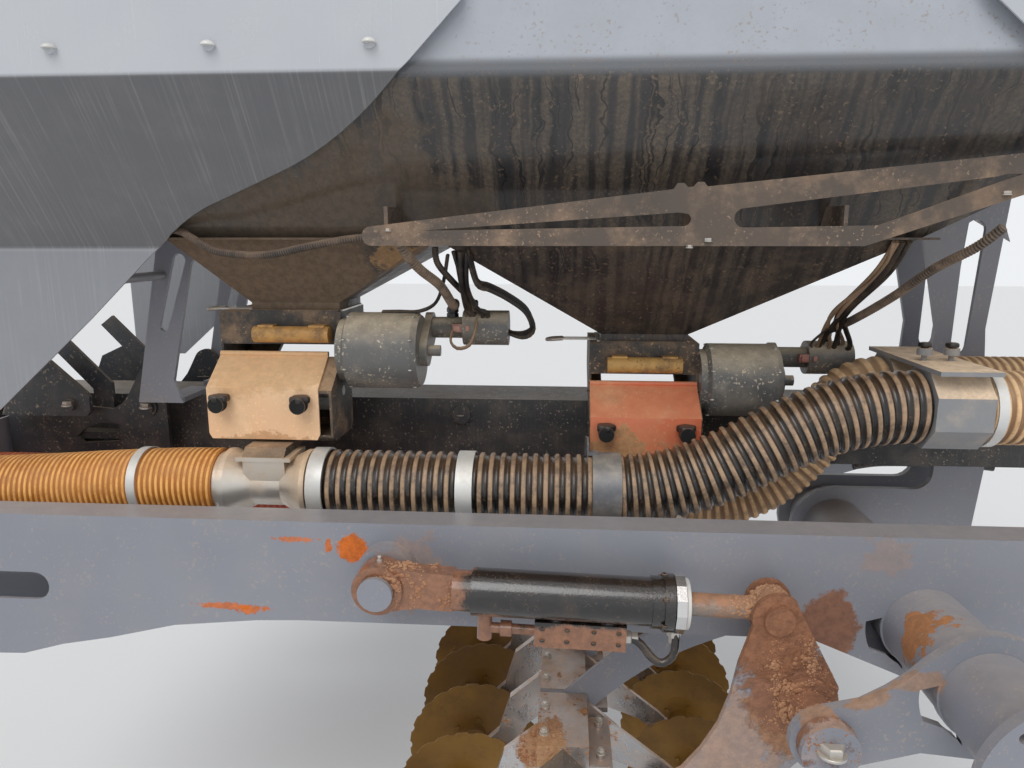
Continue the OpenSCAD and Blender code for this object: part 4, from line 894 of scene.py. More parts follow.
def block(low: Point, high: Point, bevel: float) -> Mesh:
    """Makes a box with rounded edges.

    Args:
        low: lowest corner in millimetres.
        high: highest corner in millimetres.
        bevel: size of the rounding in millimetres.

    Returns:
        The mesh, in metres.
    """
    shape = bmesh.new()
    bmesh.ops.create_cube(shape, size=1.0)
    a, b = (Vector(c) * MM for c in (low, high))
    for vert in shape.verts:
        vert.co = Vector(((a[i] + b[i]) / 2 + vert.co[i] * (b[i] - a[i])) for i in range(3))
    bmesh.ops.bevel(shape, geom=shape.edges[:], offset=bevel * MM, segments=2, affect="EDGES", profile=0.6)
    return close("block", shape)


@dataclass(frozen=True)
class Kit:
    """What the builders share: the finishes by name, the CAD pieces by node, and two trees."""

    paints: dict[str, Material]
    nodes: dict[str, Piece]
    ribs: RibTree
    bolts: ScatterTree


@dataclass(frozen=True)
class HoseRun:
    """One ribbed hose: its CAD node, its slot, and its ribs and bend in metres."""

    node: str
    slot: Slot
    pitch: float = 0.0215
    depth: float = 0.0055
    start_pull: float | None = None
    end_pull: float | None = None
    sides: int = 56


@dataclass
class AirLines:
    """The ribbed hoses of both air lines, in the place of their plain CAD solids."""

    runs: tuple[HoseRun, ...] = (
        HoseRun("hose_near_front", Slot.ORANGE, 0.0142, 0.0045, 0.300, 0.260),
        HoseRun("hose_near_middle", Slot.BLACK, 0.0262, 0.0075),
        HoseRun("hose_near_riser", Slot.BLACK, 0.0262, 0.0075, 0.330, 0.330),
        HoseRun("hose_near_rear", Slot.TAN),
        HoseRun("hose_far_front", Slot.RED, 0.0180, sides=40),
        HoseRun("hose_far_riser", Slot.TAN, start_pull=0.330, end_pull=0.170),
        HoseRun("hose_far_rear", Slot.TAN),
    )
    samples: int = 8

    def build(self, kit: Kit) -> None:
        """Makes every hose.

        Args:
            kit: finishes and trees.
        """
        for run in self.runs:
            source = curve_object(f"{run.node}_path", self.route(run))
            low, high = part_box(run.node)
            piece = kit.ribs.run(source, f"{run.node}_ribs", Radius=(high[1] - low[1]) / 2, Pitch=run.pitch,
                                 Depth=run.depth, Sides=run.sides, Samples=self.samples,
                                 Material=kit.paints[run.slot.value])
            settle(piece, "frame")
            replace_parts(piece, run.node)

    @staticmethod
    def route(run: HoseRun) -> list[Vector]:
        """Gives the line through the middle of a hose, read from its node's box.

        Args:
            run: the hose.

        Returns:
            Points of its middle line.
        """
        low, high = (Vector(c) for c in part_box(run.node))
        middle_y = (low.y + high.y) / 2
        radius = (high.y - low.y) / 2
        start = Vector((low.x, middle_y, low.z + radius))
        end = Vector((high.x, middle_y, high.z - radius))
        if run.start_pull is None:
            return [start, end]
        out, back = Vector((run.start_pull, 0, 0)), Vector((run.end_pull, 0, 0))
        return bezier((start, start + out, end - back, end))


@dataclass(frozen=True)
class Fastener:
    """Where one upright fastener sits, its size and its turn about the vertical."""

    spot: Point
    size: float = 1.0
    turn: float = 0.0

    def mirrored(self) -> "Fastener":
        """Gives the fastener's twin on the far side of the machine."""
        x, y, z = self.spot
        return Fastener((x, -y, z), self.size, -self.turn)


class Kind(Enum):
    """Kinds of fasteners."""

    HEX = "hex_bolt"
    DOME = "dome_bolt"
    RIVET = "rivet"
    SOCKET = "socket_screw"
    STUD = "stud_and_nut"
    KNOB = "star_knob"
    NIPPLE = "grease_nipple"


WASHER = ([(0, -1), (15, -1), (16, 0), (16, 2.4), (15.4, 3), (0, 3)], 20, False)
NUT = ([(0, 2.5), (12.6, 2.5), (13.4, 3.4), (13.4, 11.5), (11.6, 13), (0, 13)], 6, True)
STUD_END = ([(0, 12), (8, 12), (8, 18.5), (7, 20), (0, 20)], 12, False)
DOME = [(0, -1), (13.5, -1), (13.8, 0.6), (13.0, 2.6), (11.4, 4.6), (8.4, 6.6), (4.6, 7.8), (0, 8.2)]
BUTTON = [(0, -0.5), (6.2, -0.5), (6.0, 0.8), (5.0, 2.0), (3.0, 2.8), (0, 3.0)]
SCREW = [(0, -0.5), (8, -0.5), (8.4, 0.4), (8.4, 6.6), (7.6, 7.6), (4.4, 7.6), (4.4, 3.2), (0, 3.2)]
NIPPLE = [(0, -1), (5.5, -1), (5.5, 4), (3, 5), (3, 9), (4.2, 10.4), (3.4, 13), (0, 13.6)]
STAR = [(0, -2), (12, -2), (12, 3), (21, 5), (23, 8), (23, 17), (21, 20), (13, 22), (0, 22)]
TURNED = {
    Kind.HEX: (WASHER, NUT), Kind.STUD: (WASHER, NUT, STUD_END), Kind.DOME: ((DOME, 20, False),),
    Kind.RIVET: ((BUTTON, 12, False),), Kind.SOCKET: ((SCREW, 16, False),),
    Kind.NIPPLE: ((NIPPLE, 10, False),), Kind.KNOB: ((STAR, 40, False),),
}
FASTENER_FINISH = {Kind.DOME: "dome_bolt", Kind.SOCKET: "dark_screw", Kind.KNOB: "knob"}


@dataclass
class Hardware:
    """Bolts, nuts, rivets and knobs of one body."""

    body: str
    sets: dict[Kind, list[Fastener]]

    def build(self, kit: Kit) -> None:
        """Sets all fasteners of the body.

        Args:
            kit: finishes and trees.
        """
        for kind, places in self.sets.items():
            template = place("template", self.shape(kind))
            piece = kit.bolts.run(self.points(places), f"{self.body}_{kind.value}s", Template=template,
                                  Material=kit.paints[FASTENER_FINISH.get(kind, "zinc")])
            settle(piece, self.body)
            bpy.data.objects.remove(template)

    @staticmethod
    def points(places: Sequence[Fastener]) -> Piece:
        """Makes the points that carry the fasteners.

        Args:
            places: where the fasteners sit, in millimetres.

        Returns:
            A mesh object of loose points with their attributes.
        """
        mesh = bpy.data.meshes.new("places")
        mesh.from_pydata([metres(f.spot) for f in places], [], [])
        mesh.attributes.new("turn", "FLOAT", "POINT").data.foreach_set("value", [f.turn for f in places])
        mesh.attributes.new("size", "FLOAT", "POINT").data.foreach_set("value", [f.size for f in places])
        return place("places", mesh)

    @staticmethod
    def shape(kind: Kind) -> Mesh:
        """Makes one fastener that points along Z.

        Args:
            kind: which one.

        Returns:
            Its mesh.
        """
        lobes = (lambda a: 1.0 + 0.09 * math.cos(5 * a)) if kind is Kind.KNOB else None
        mesh = merge(kind.value, [lathe("part", *turned, lobes) for turned in TURNED[kind]])
        mesh.set_sharp_from_angle(angle=SHARP_ANGLE)
        return mesh


def both_sides(*places: Fastener) -> list[Fastener]:
    """Gives these fasteners and their twins on the far side of the machine."""
    return [*places, *(p.mirrored() for p in places)]


@dataclass
class FrameHardware:
    """Where the fasteners of the fixed frame are, in millimetres."""

    sheet_bolt_x: tuple[float, ...] = (698, 1016, 1328, 2612, 2924)
    sheet_face: float = 697
    sheet_bolt_z: float = 900
    brace_face: float = 600
    brace_bolts: tuple[Point, ...] = (
        (1954, 519, 0.5), (1991, 532, 0.55), (2563, 622, 0.6), (1330, 553, 0.45), (2800, 716, 0.7))
    outlet: Point = (1010, -290, 254)
    unit_shift: Point = (905, 125, -90)
    can_ring: float = 97.6

    def build(self, kit: Kit) -> None:
        """Sets the frame's fasteners.

        Args:
            kit: finishes and trees.
        """
        domes = both_sides(*(Fastener((x, -self.sheet_face, self.sheet_bolt_z)) for x in self.sheet_bolt_x))
        hexes = both_sides(*(Fastener((x, -self.brace_face, z), size=size, turn=x)
                             for x, z, size in self.brace_bolts))
        hexes += [Fastener((1408, -100, 38), size=1.1), Fastener((517, -186.5, 64), size=1.15, turn=0.4),
                  Fastener((313, -228.5, 77), size=0.95), Fastener((527, -174.5, 133), size=0.6)]
        rivets: list[Fastener] = []
        sockets: list[Fastener] = []
        for shift, side, reach in (((0.0, 0.0, 0.0), 120.0, 198.0), (self.unit_shift, 145.0, 145.0)):
            rivets += self.can_rivets(shift, side)
            sockets += self.housing_screws(shift, side, reach)
        Hardware("frame", {
            Kind.DOME: domes,
            Kind.HEX: hexes,
            Kind.STUD: both_sides(Fastener((612, -180, 100), 0.55),
                                  Fastener((2830, -108, 100), 0.5)),
            Kind.RIVET: rivets,
            Kind.SOCKET: sockets,
            Kind.KNOB: [Fastener((x, -365, 284), 0.62, 0.3) for x in (2552, 2614)],
        }).build(kit)

    def can_rivets(self, shift: Point, side: float) -> list[Fastener]:
        """Gives the rivets round a drive can, near both its ends.

        Args:
            shift: how far the unit stands from the front one.
            side: reach of the housing behind the outlet.

        Returns:
            The rivets.
        """
        x, y, z = (v + d for v, d in zip(self.outlet, shift))
        result = []
        for along in (26, 192):
            for angle in range(22, 360, 45):
                c, s = math.cos(math.radians(angle)), math.sin(math.radians(angle))
                spot = (x + side + along, y + self.can_ring * c, z + self.can_ring * s)
                result.append(Fastener(spot, 0.9))
        return result

    def housing_screws(self, shift: Point, side: float, reach: float) -> list[Fastener]:
        """Gives the screws on the end plates of a metering unit's housing.

        Args:
            shift: how far the unit stands from the front one.
            side: reach of the housing behind the outlet.
            reach: reach of the housing ahead of the outlet.

        Returns:
            The screws.
        """
        x, dy, dz = self.outlet[0] + shift[0], shift[1], shift[2]
        return [Fastener((x + along, y + dy, z + dz), 0.7)
                for y, z in ((-395, 70), (-395, 150), (-330, 70), (-330, 225))
                for along in (side, -reach)]


@dataclass
class CarrierHardware:
    """Fasteners of the disc carrier: arm clamps, cranks and shaft, in millimetres."""

    bar: tuple[float, float] = (1712, -712)
    clamp_half: float = 62
    front_rows: tuple[float, ...] = (-495, -265, -35, 195, 425)
    shaft: tuple[float, float] = (2205, -397)

    def build(self, kit: Kit) -> None:
        """Sets the carrier's fasteners.

        Args:
            kit: finishes and trees.
        """
        x, z = self.bar
        studs = []
        for y in self.front_rows:
            for dy in (-60, 60):
                outer = (x + self.clamp_half + 30, y + dy, z + 19)
                inner = (x - self.clamp_half + 16, y + dy * 0.9, z + self.clamp_half)
                studs += [Fastener(outer, 0.75, y), Fastener(inner, 0.8, y)]
        x, z = self.shaft
        caps = both_sides(Fastener((x, -778, z), size=1.5), Fastener((x, -914, z), size=1.7))
        Hardware("carrier", {Kind.STUD: studs, Kind.HEX: caps}).build(kit)


@dataclass
class FlapKnobs:
    """Star knobs on both flaps, whose centres are given in millimetres, with the painted shadow under them.
    """

    centres: tuple[tuple[str, tuple[Point, ...]], ...] = (
        ("flap_front", ((854, -444, 138), (1058, -444, 138))),
        ("flap_rear", ((1812, -319, 48), (2016, -319, 48))),
    )
    # Radius of the painted shadow round each knob, in metres.
    knob_shadow_radius: float = 0.0262

    def build(self, kit: Kit) -> None:
        """Sets the knobs.

        Args:
            kit: finishes and trees.
        """
        for body, centres in self.centres:
            stars = [Fastener((x, y + 12, z), size=1.04, turn=x) for x, y, z in centres]
            Hardware(body, {Kind.KNOB: stars}).build(kit)

    def spots(self, unit: int) -> tuple[Spot, ...]:
        """Gives the painted shadow patches under the knobs of the front flap, 0, or the rear one, 1."""
        return tuple(Spot(metres(centre), self.knob_shadow_radius, (0.014, 0.014, 0.014), ragged=0.0)
                     for centre in self.centres[unit][1])


@dataclass(frozen=True)
class Cable:
    """A cable or hose held at both ends: its route in millimetres and its look."""

    name: str
    route: tuple[Point, ...]
    radius: float
    finish: str
    pitch: float = 0.0

    def build(self, kit: Kit, body: str = "frame") -> Piece:
        """Makes the cable.

        Args:
            kit: finishes and trees.
            body: what it rides on.

        Returns:
            The piece.
        """
        source = curve_object(f"{self.name}_path", smooth_path([metres(point) for point in self.route]))
        ribbed = self.pitch > 0.0
        piece = kit.ribs.run(source, self.name, Radius=self.radius * MM, Pitch=(self.pitch or 12.0) * MM,
                             Depth=self.radius * MM * (0.16 if ribbed else 0.0),
                             Sides=14 if self.radius > 5 else 8, Samples=4 if ribbed else 1,
                             Material=kit.paints[self.finish])
        return settle(piece, body)


@dataclass
class Wiring:
    """Loom, conduits, loose wires, connectors and ties between the hopper and the drives."""

    loom_y: float = -572
    loom_z: float = 539
    motor: Point = (1495, -210, 305)
    rear_motor: Point = (2425, -85, 215)

    def build(self, kit: Kit) -> None:
        """Makes the wiring.

        Args:
            kit: finishes and trees.
        """
        y, z = self.loom_y, self.loom_z
        loom = Cable("loom", (
            (660, -462, 572), (720, -463, 566), (785, -463, 558), (812, -466, 553), (850, -482, 536),
            (880, -491, 520), (923, -500, 506), (1035, -530, 502), (1148, -556, 522), (1250, -571, 538),
            (1330, y, z), (1500, y, z), (1900, y, z), (2290, y, z)), 9, "dusty_loom", 6.0)
        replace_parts(loom.build(kit), "harness")
        for cable in (
            Cable("conduit_front", (
                (1325, -476, 548), (1330, -474, 520), (1345, -450, 490), (1366, -420, 462),
                (1400, -370, 425), (1420, -300, 372), (1416, -240, 372), (1405, -210, 363)),
                  12, "muddy_conduit", 7.0),
            Cable("lead_front", ((1394, -400, 518), (1398, -392, 480), (1424, -350, 438), (1452, -272, 394),
                                 (1462, -210, 371)), 8, "cable_black", 5.0),
            Cable("conduit_rear", (
                (2588, -560, 560), (2560, -520, 520), (2520, -430, 470), (2480, -330, 400),
                (2440, -200, 330), (2420, -85, 289)), 11, "muddy_conduit", 7.0),
            Cable("hydraulic_under", (
                (2540, -46, -108), (2600, -42, -99), (2660, -40, -96.8), (2720, -40, -96.6),
                (2780, -40, -96.6), (2840, -40, -96.8), (2930, -40, -106)), 10, "cylinder_black"),
            *self.trunk_wires(), *self.drive_wires(),
        ):
            cable.build(kit)
        self.glands(kit)
        self.ties(kit)
        self.plugs(kit)

    def trunk_wires(self) -> list[Cable]:
        """Gives the bundles of wires that hang down to both drives.

        Returns:
            The wires.
        """
        chance = random.Random(7)
        wires = []
        trunks = (
            ("front", 6, (1452, -400, 508), (1455, -338, 424), (1456, -262, 366), self.motor),
            ("rear", 9, (2440, -440, 531), (2436, -360, 458), (2398, -215, 345), self.rear_motor),
        )
        for name, count, top, middle, low, motor in trunks:
            for i in range(count):
                out = 6.0 + 4.0 * (i % 3)
                dx, dy = out * math.cos(i * 2.4), out * math.sin(i * 2.4)
                sway = [chance.uniform(-7, 7) for _ in range(5)]
                end = (motor[0] - 50 + 11 * i, motor[1] - 30 + 5 * (i % 4), motor[2] + 31 - 3 * (i % 3))
                route = ((top[0] + dx * 1.5, top[1] + dy * 0.4, top[2]),
                         (middle[0] + dx + sway[0], middle[1] + dy + sway[1], middle[2]),
                         (low[0] + dx * 1.4 + sway[2], low[1] + dy, low[2] + sway[3]),
                         (end[0] + sway[4], end[1] - 18, end[2] + 20), end)
                pale = "wire_tan" if name == "rear" else "cable_black"
                finish = ("muddy_conduit", pale, "cable_black")[i % 3]
                wires.append(Cable(f"wire_{name}_{i + 1}", route, 3.4 + 1.6 * (i % 3), finish))
        return wires

    def drive_wires(self) -> list[Cable]:
        """Gives the wires over the front motor, to its plug and on its can.

        Returns:
            The wires.
        """
        over_motor = ((1474, -398, 500), (1487, -338, 428), (1514, -304, 413), (1557, -274, 388),
                      (1604, -262, 352), (1620, -250, 306), (1594, -228, 284))
        to_plug = ((1474, -238, 330), (1472, -276, 300), (1458, -286, 266), (1426, -284, 258),
                   (1408, -274, 276), (1412, -252, 300))
        on_can = ((1424, -396, 500), (1404, -346, 432), (1376, -306, 378), (1330, -293, 356),
                  (1280, -290, 355), (1236, -289, 354))
        looks = ((8.0, "muddy_conduit"), (4.0, "cable_black"), (4.0, "cable_black"))
        wires = []
        for i, (radius, finish) in enumerate(looks):
            route = (*((x, y - 9 * i, z + 7 * i) for x, y, z in over_motor), (1548, -212, 296))
            wires.append(Cable(f"wire_motor_{i + 1}", route, radius, finish))
        for i in range(2):
            plug = tuple((x, y - 5 * i, z + 4 * i) for x, y, z in to_plug)
            can = tuple((x, y - 9 * i, z - 1.2 * i) for x, y, z in on_can)
            wires.append(Cable(f"wire_plug_{i + 1}", plug, 3.2, "wire_tan"))
            wires.append(Cable(f"wire_can_{i + 1}", can, 4.2, "cable_black"))
        return wires

    @staticmethod
    def glands(kit: Kit) -> None:
        """Makes the glands where the conduits enter the drives.

        Args:
            kit: finishes and trees.
        """
        parts = []
        for x, y, z, r in ((1405, -210, 333.3, 16), (1462, -210, 351.3, 12), (2420, -85, 261.3, 15)):
            profile = [(0, 0), (r, 0), (r, 9), (r * 0.86, 10), (r * 0.86, 12), (r, 13), (r, 22),
                       (r * 0.8, 27), (0, 27)]
            part = lathe("gland", profile, 6 if r > 13 else 12, True)
            part.transform(Matrix.Translation(metres((x, y, z))))
            parts.append(part)
        new_piece(merge("glands", parts), kit.paints["knob"], "frame")

    def ties(self, kit: Kit) -> None:
        """Makes the cable ties round the loom and the brace's lip.

        Args:
            kit: finishes and trees.
        """
        sides = (((-2.5, -24, -15), (2.5, 20, -12.6)), ((-2.5, -11, 9.6), (2.5, 11, 11.2)),
                 ((-2.5, -12.2, -10), (2.5, -10.4, 10)), ((-2.5, 10.4, -14), (2.5, 12.2, 10)),
                 ((-4, -17, 2), (4, -11, 8)))
        parts = []
        for x in (1420, 1560, 1679, 1833, 1985, 2139, 2270):
            for side in sides:
                low, high = ((x + dx, self.loom_y + dy, self.loom_z + dz) for dx, dy, dz in side)
                parts.append(block(low, high, 0.5))
        new_piece(smoothed(merge("cable_ties", parts)), kit.paints["knob"], "frame")

    def plugs(self, kit: Kit) -> None:
        """Makes the plug housings on the drives.

        Args:
            kit: finishes and trees.
        """
        parts = []
        for mx, y, z in (self.motor, self.rear_motor):
            for x, w in ((mx - 86, 26), (mx - 54, 18)):
                parts.append(block((x, y - 44, z - 8), (x + w, y - 26, z + 14), 2.0))
                parts.append(block((x + 4, y - 50, z - 4), (x + w - 4, y - 43, z + 10), 1.5))
        new_piece(smoothed(merge("plugs", parts)), kit.paints["pink_plug"], "frame")


@dataclass
class Handles:
    """Wire handles of the slide gates, in millimetres."""

    rod: float = 5.0
    first: float = 42
    last: float = 64

    def build(self, kit: Kit) -> None:
        """Makes both handles.

        Args:
            kit: finishes and trees.
        """
        for gate in ("gate_front", "gate_rear"):
            low, high = (Vector(c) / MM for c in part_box(gate))
            z = (low.z + high.z) / 2
            x = low.x + 4
            y0, y1 = low.y + self.first, low.y + self.last
            route = ((x, y0, z), (x - 30, y0 - 4, z - 2), (x - 46, y0 + 10, z - 4),
                     (x - 50, (y0 + y1) / 2, z - 4), (x - 46, y1 - 10, z - 4), (x - 30, y1 + 4, z - 2),
                     (x, y1, z))
            Cable(f"{gate}_pull", route, self.rod, "bare_steel").build(kit, gate)


@dataclass
class CylinderFittings:
    """Hose loop, unions, end nut and screws on each lift cylinder, along its axis from the base pin."""

    pin: tuple[float, float] = (1314, -191)
    slope: float = math.atan2(-24, 826)
    side: float = 712
    hose: tuple[Point, ...] = (
        (528, 0, -84), (556, 4, -92), (584, 10, -122), (606, 14, -132), (628, 12, -112), (632, 6, -76),
        (628, 2, -56))
    ends: tuple[tuple[str, str, int, tuple[tuple[float, float], ...]], ...] = (
        ("nut", "chrome", 12,
         ((26, 620.4), (56, 620.4), (60.8, 622), (60.8, 642), (56, 643.4), (26, 643.4))),
        ("seal", "dome_bolt", 40,
         ((26, 644), (51.5, 644), (52.5, 645), (52.5, 651), (51.5, 652), (26, 652))),
    )

    def build(self, kit: Kit) -> None:
        """Dresses both cylinders.

        Args:
            kit: finishes and trees.
        """
        for side, out in (("near", -1.0), ("far", 1.0)):
            body = f"barrel_{side}"
            y = self.side * out
            hose = tuple(self.at(u, y + out * v, w) for u, v, w in self.hose)
            Cable(f"port_hose_{side}", hose, 9, "cylinder_black").build(kit, body)
            screws = [Fastener(self.at(u, y + out * 22, w), 0.62, u)
                      for u in (352, 404, 460, 512) for w in (-94, -68)]
            for angle in range(30, 390, 60):
                c, s = math.cos(math.radians(angle)), math.sin(math.radians(angle))
                screws.append(Fastener(self.at(600, y + 59 * c, 59 * s), 0.8))
            nipple = Fastener(self.at(0, y, 54), 1.1)
            Hardware(body, {Kind.SOCKET: screws, Kind.NIPPLE: [nipple]}).build(kit)
            self.unions(body, y, kit)
            self.collar(body, y, kit)

    def at(self, u: float, y: float, w: float) -> Point:
        """Gives the point u along the cylinder's axis and w above it, in millimetres."""
        c, s = math.cos(self.slope), math.sin(self.slope)
        return (self.pin[0] + u * c - w * s, y, self.pin[1] + u * s + w * c)

    def collar(self, body: str, y: float, kit: Kit) -> None:
        """Makes the bright nut and the white seal ring at the end of a barrel.

        Args:
            body: the barrel's body.
            y: place across the machine.
            kit: finishes and trees.
        """
        turn = Matrix.Rotation(math.pi / 2 - self.slope, 4, "Y")
        for name, finish, sides, profile in self.ends:
            mesh = lathe(f"{name}_{body}", (*profile, profile[0]), sides, sides < 20)
            mesh.transform(Matrix.Translation(metres(self.at(0, y, 0))) @ turn)
            new_piece(mesh, kit.paints[finish], body)

    def unions(self, body: str, y: float, kit: Kit) -> None:
        """Makes the hose unions at both ends of the port hose.

        Args:
            body: the barrel's body.
            y: place across the machine.
            kit: finishes and trees.
        """
        profile = [(0, -6), (13, -6), (15, -4), (15, 8), (13, 10), (11, 11), (11, 24), (0, 24)]
        parts = []
        for u, w, turn in ((530, -84, math.pi / 2), (629, -66, math.pi)):
            part = lathe("union", profile, 6, True)
            part.transform(Matrix.Translation(metres(self.at(u, y, w))) @ Matrix.Rotation(turn, 4, "Y"))
            parts.append(part)
        new_piece(merge(f"unions_{body}", parts), kit.paints["zinc"], body)


@dataclass(frozen=True)
class ClodPatch:
    """Dried mud on one node round one point, in millimetres, with its density per square metre."""

    node: str
    body: str
    centre: Point
    reach: float
    density: float
    size: float


@dataclass
class DriedMud:
    """Clods of dried mud on the linkage and the arm clamps."""

    patches: tuple[ClodPatch, ...] = (
        ClodPatch("barrel_near", "barrel_near", (1400, -712, -180), 120, 26000, 7.5),
        ClodPatch("rod_near", "rod_near", (2118, -712, -215), 86, 26000, 8.0),
        ClodPatch("cranks", "carrier", (2172, -770, -312), 82, 24000, 9.0),
        ClodPatch("cranks", "carrier", (2205, -760, -397), 110, 22000, 8.5),
        ClodPatch("rocker_shaft", "carrier", (2205, -840, -397), 120, 20000, 7.5),
        ClodPatch("disc_arms", "carrier", (1660, -540, -700), 130, 16000, 8.0),
    )
    first_seed: int = 11

    def build(self, kit: Kit) -> None:
        """Strews every patch.

        Args:
            kit: finishes and trees.
        """
        tree = ClodTree()
        for i, patch in enumerate(self.patches):
            base = place("clod_base", kit.nodes[patch.node].data.copy())
            piece = tree.run(base, f"clods_{patch.node}_{i + 1}", Density=patch.density,
                             Reach=patch.reach * MM, Size=patch.size * MM, Seed=self.first_seed + i,
                             Centre=metres(patch.centre), Material=kit.paints["mud"])
            settle(piece, patch.body)


@dataclass
class Studio:
    """Camera, floor, backdrop and lamps."""

    eye: Point = (1.70, -2.16, 0.54)
    lens: float = 26.0
    pitch: float = 11.2
    yaw: float = 4.02
    floor_z: float = -1.44
    floor_size: float = 60.0
    floor_colour: Colour = (0.80, 0.80, 0.80)
    sky_colour: Colour = (0.95, 0.97, 1.0)
    shown_colour: Colour = (0.86, 0.88, 0.90)
    sun_strength: float = 1.35
    sky_strength: float = 0.56

    def build(self) -> None:
        """Builds the whole studio."""
        self.camera()
        self.ground()
        self.sky()
        self.sun("key_sun", (38.0, 8.0, -28.0), self.sun_strength, 40.0)
        self.sun("fill_sun", (66.0, 0.0, 60.0), self.sun_strength * 0.25, 60.0)
        bpy.context.scene.view_settings.view_transform = "Standard"

    def camera(self) -> None:
        """Places the camera where the photograph was taken."""
        data = bpy.data.cameras.new("photo_camera")
        data.lens = self.lens
        data.sensor_width = 36.0
        data.clip_start = 0.05
        data.clip_end = 200.0
        camera = place("photo_camera", data)
        camera.location = self.eye
        camera.rotation_euler = (math.radians(90.0 - self.pitch), 0.0, math.radians(self.yaw))
        bpy.context.scene.camera = camera

    def ground(self) -> None:
        """Lays the pale floor."""
        material = bpy.data.materials.new("studio_floor")
        material.use_nodes = True
        shader = material.node_tree.nodes["Principled BSDF"]
        shader.inputs["Base Color"].default_value = (*self.floor_colour, 1.0)
        shader.inputs["Roughness"].default_value = 0.9
        half, z = self.floor_size / 2, self.floor_z
        mesh = bpy.data.meshes.new("studio_floor")
        corners = [(-half, -half, z), (half, -half, z), (half, half, z), (-half, half, z)]
        mesh.from_pydata(corners, [], [(0, 1, 2, 3)])
        mesh.materials.append(material)
        place("studio_floor", mesh)

    def sky(self) -> None:
        """Sets a sky that lights in one tone and shows in another."""
        world = bpy.data.worlds.new("studio_sky")
        bpy.context.scene.world = world
        world.use_nodes = True
        world.node_tree.nodes.clear()
        n = Maker(world.node_tree)
        path = n.add("ShaderNodeLightPath").outputs
        seen = n.math("MAXIMUM", path["Is Camera Ray"], path["Is Glossy Ray"])
        seen = n.math("MAXIMUM", seen, path["Is Transmission Ray"])
        lit = n.add("ShaderNodeBackground", Color=self.sky_colour, Strength=self.sky_strength)
        shown = n.add("ShaderNodeBackground", Color=self.shown_colour, Strength=1.0)
        both = n.add("ShaderNodeMixShader")
        for socket, value in zip(both.inputs, (seen, lit.outputs[0], shown.outputs[0])):
            n.put(socket, value)
        n.add("ShaderNodeOutputWorld", Surface=both.outputs[0])

    @staticmethod
    def sun(name: str, turn: Point, strength: float, angle: float) -> None:
        """Hangs up a soft sun.

        Args:
            name: its name.
            turn: its rotation in degrees.
            strength: its strength.
            angle: how wide it is in degrees.
        """
        data = bpy.data.lights.new(name, "SUN")
        data.energy = strength
        data.angle = math.radians(angle)
        place(name, data).rotation_euler = tuple(math.radians(a) for a in turn)


FRAME_BLUE = (0.250, 0.260, 0.300)
FRAME_SECOND = (0.275, 0.283, 0.318)
FRAME_DUST = (0.40, 0.30, 0.21)
BLACK_PAINT = (0.018, 0.019, 0.022)
CRANK_MUD = (
    Spot((2.115, -0.74, -0.215), 0.15, MUD, 1.0, 0.30, 20.0),
    Spot((2.205, -0.78, -0.397), 0.13, MUD, 0.95, 0.35, 22.0),
    Spot((2.02, -0.758, -0.52), 0.16, DRY_MUD, 0.6, 0.6, 12.0),
    Spot((1.78, -0.758, -0.70), 0.20, DRY_MUD, 0.7, 0.6, 12.0),
)
BEAM_SPOTS = (
    Spot((1.232, -0.63, -0.144), 0.036, RUST, 1.0, 0.30, 70.0, (0.95, 1.0, 1.0)),
    Spot((1.178, -0.63, -0.140), 0.018, RUST, 0.9, 0.7, 90.0, (2.0, 1.0, 1.0)),
    Spot((1.10, -0.63, -0.128), 0.030, RUST, 0.8, 1.1, 90.0, (0.7, 1.0, 5.0)),
    Spot((0.93, -0.63, -0.297), 0.060, RUST, 0.85, 0.7, 70.0, (0.9, 1.0, 6.5)),
    Spot((0.99, -0.63, -0.303), 0.030, RUST, 0.9, 0.8, 80.0, (0.8, 1.0, 3.0)),
    Spot((2.286, -0.63, -0.300), 0.075, (0.30, 0.135, 0.075), 0.95, 0.30, 24.0, (1.1, 1.0, 0.8)),
    Spot((2.40, -0.63, -0.13), 0.05, DRY_MUD, 0.3, 0.9, 30.0),
    Spot((1.36, -0.63, -0.20), 0.09, DRY_MUD, 0.35, 0.6, 24.0),
)
TUBE_SPOTS = (
    Spot((2.19, -0.88, -0.352), 0.034, DRY_MUD, 0.85, 0.4, 26.0),
    Spot((2.26, -0.88, -0.305), 0.026, DRY_MUD, 0.8, 0.5, 26.0, (0.5, 1.0, 1.0)),
    Spot((2.36, -0.88, -0.262), 0.024, DRY_MUD, 0.7, 0.6, 26.0, (0.4, 1.0, 1.0)),
    Spot((2.44, -0.74, -0.25), 0.060, (0.50, 0.20, 0.06), 0.9, 0.8, 22.0),
    Spot((2.47, -0.86, -0.31), 0.040, (0.50, 0.20, 0.06), 0.9, 0.7, 28.0),
    Spot((2.52, -0.98, -0.25), 0.045, (0.50, 0.22, 0.08), 0.5, 0.8, 30.0),
)
NODE_FINISH = {
    "side_beams": "beam_paint", "rear_cross_tube": "tube_paint", "outer_plates": "tube_paint",
    "cranks": "crank_paint", "rocker_shaft": "crank_paint", "spine_beam": "spine_paint",
    "hopper_funnel_front": "funnel_paint", "hopper_funnel_rear": "funnel_paint",
    "meter_housings": "housing_paint", "injectors": "venturi_steel", "hose_clamps": "band_metal",
    "barrel_near": "barrel_paint", "barrel_far": "barrel_paint",
}


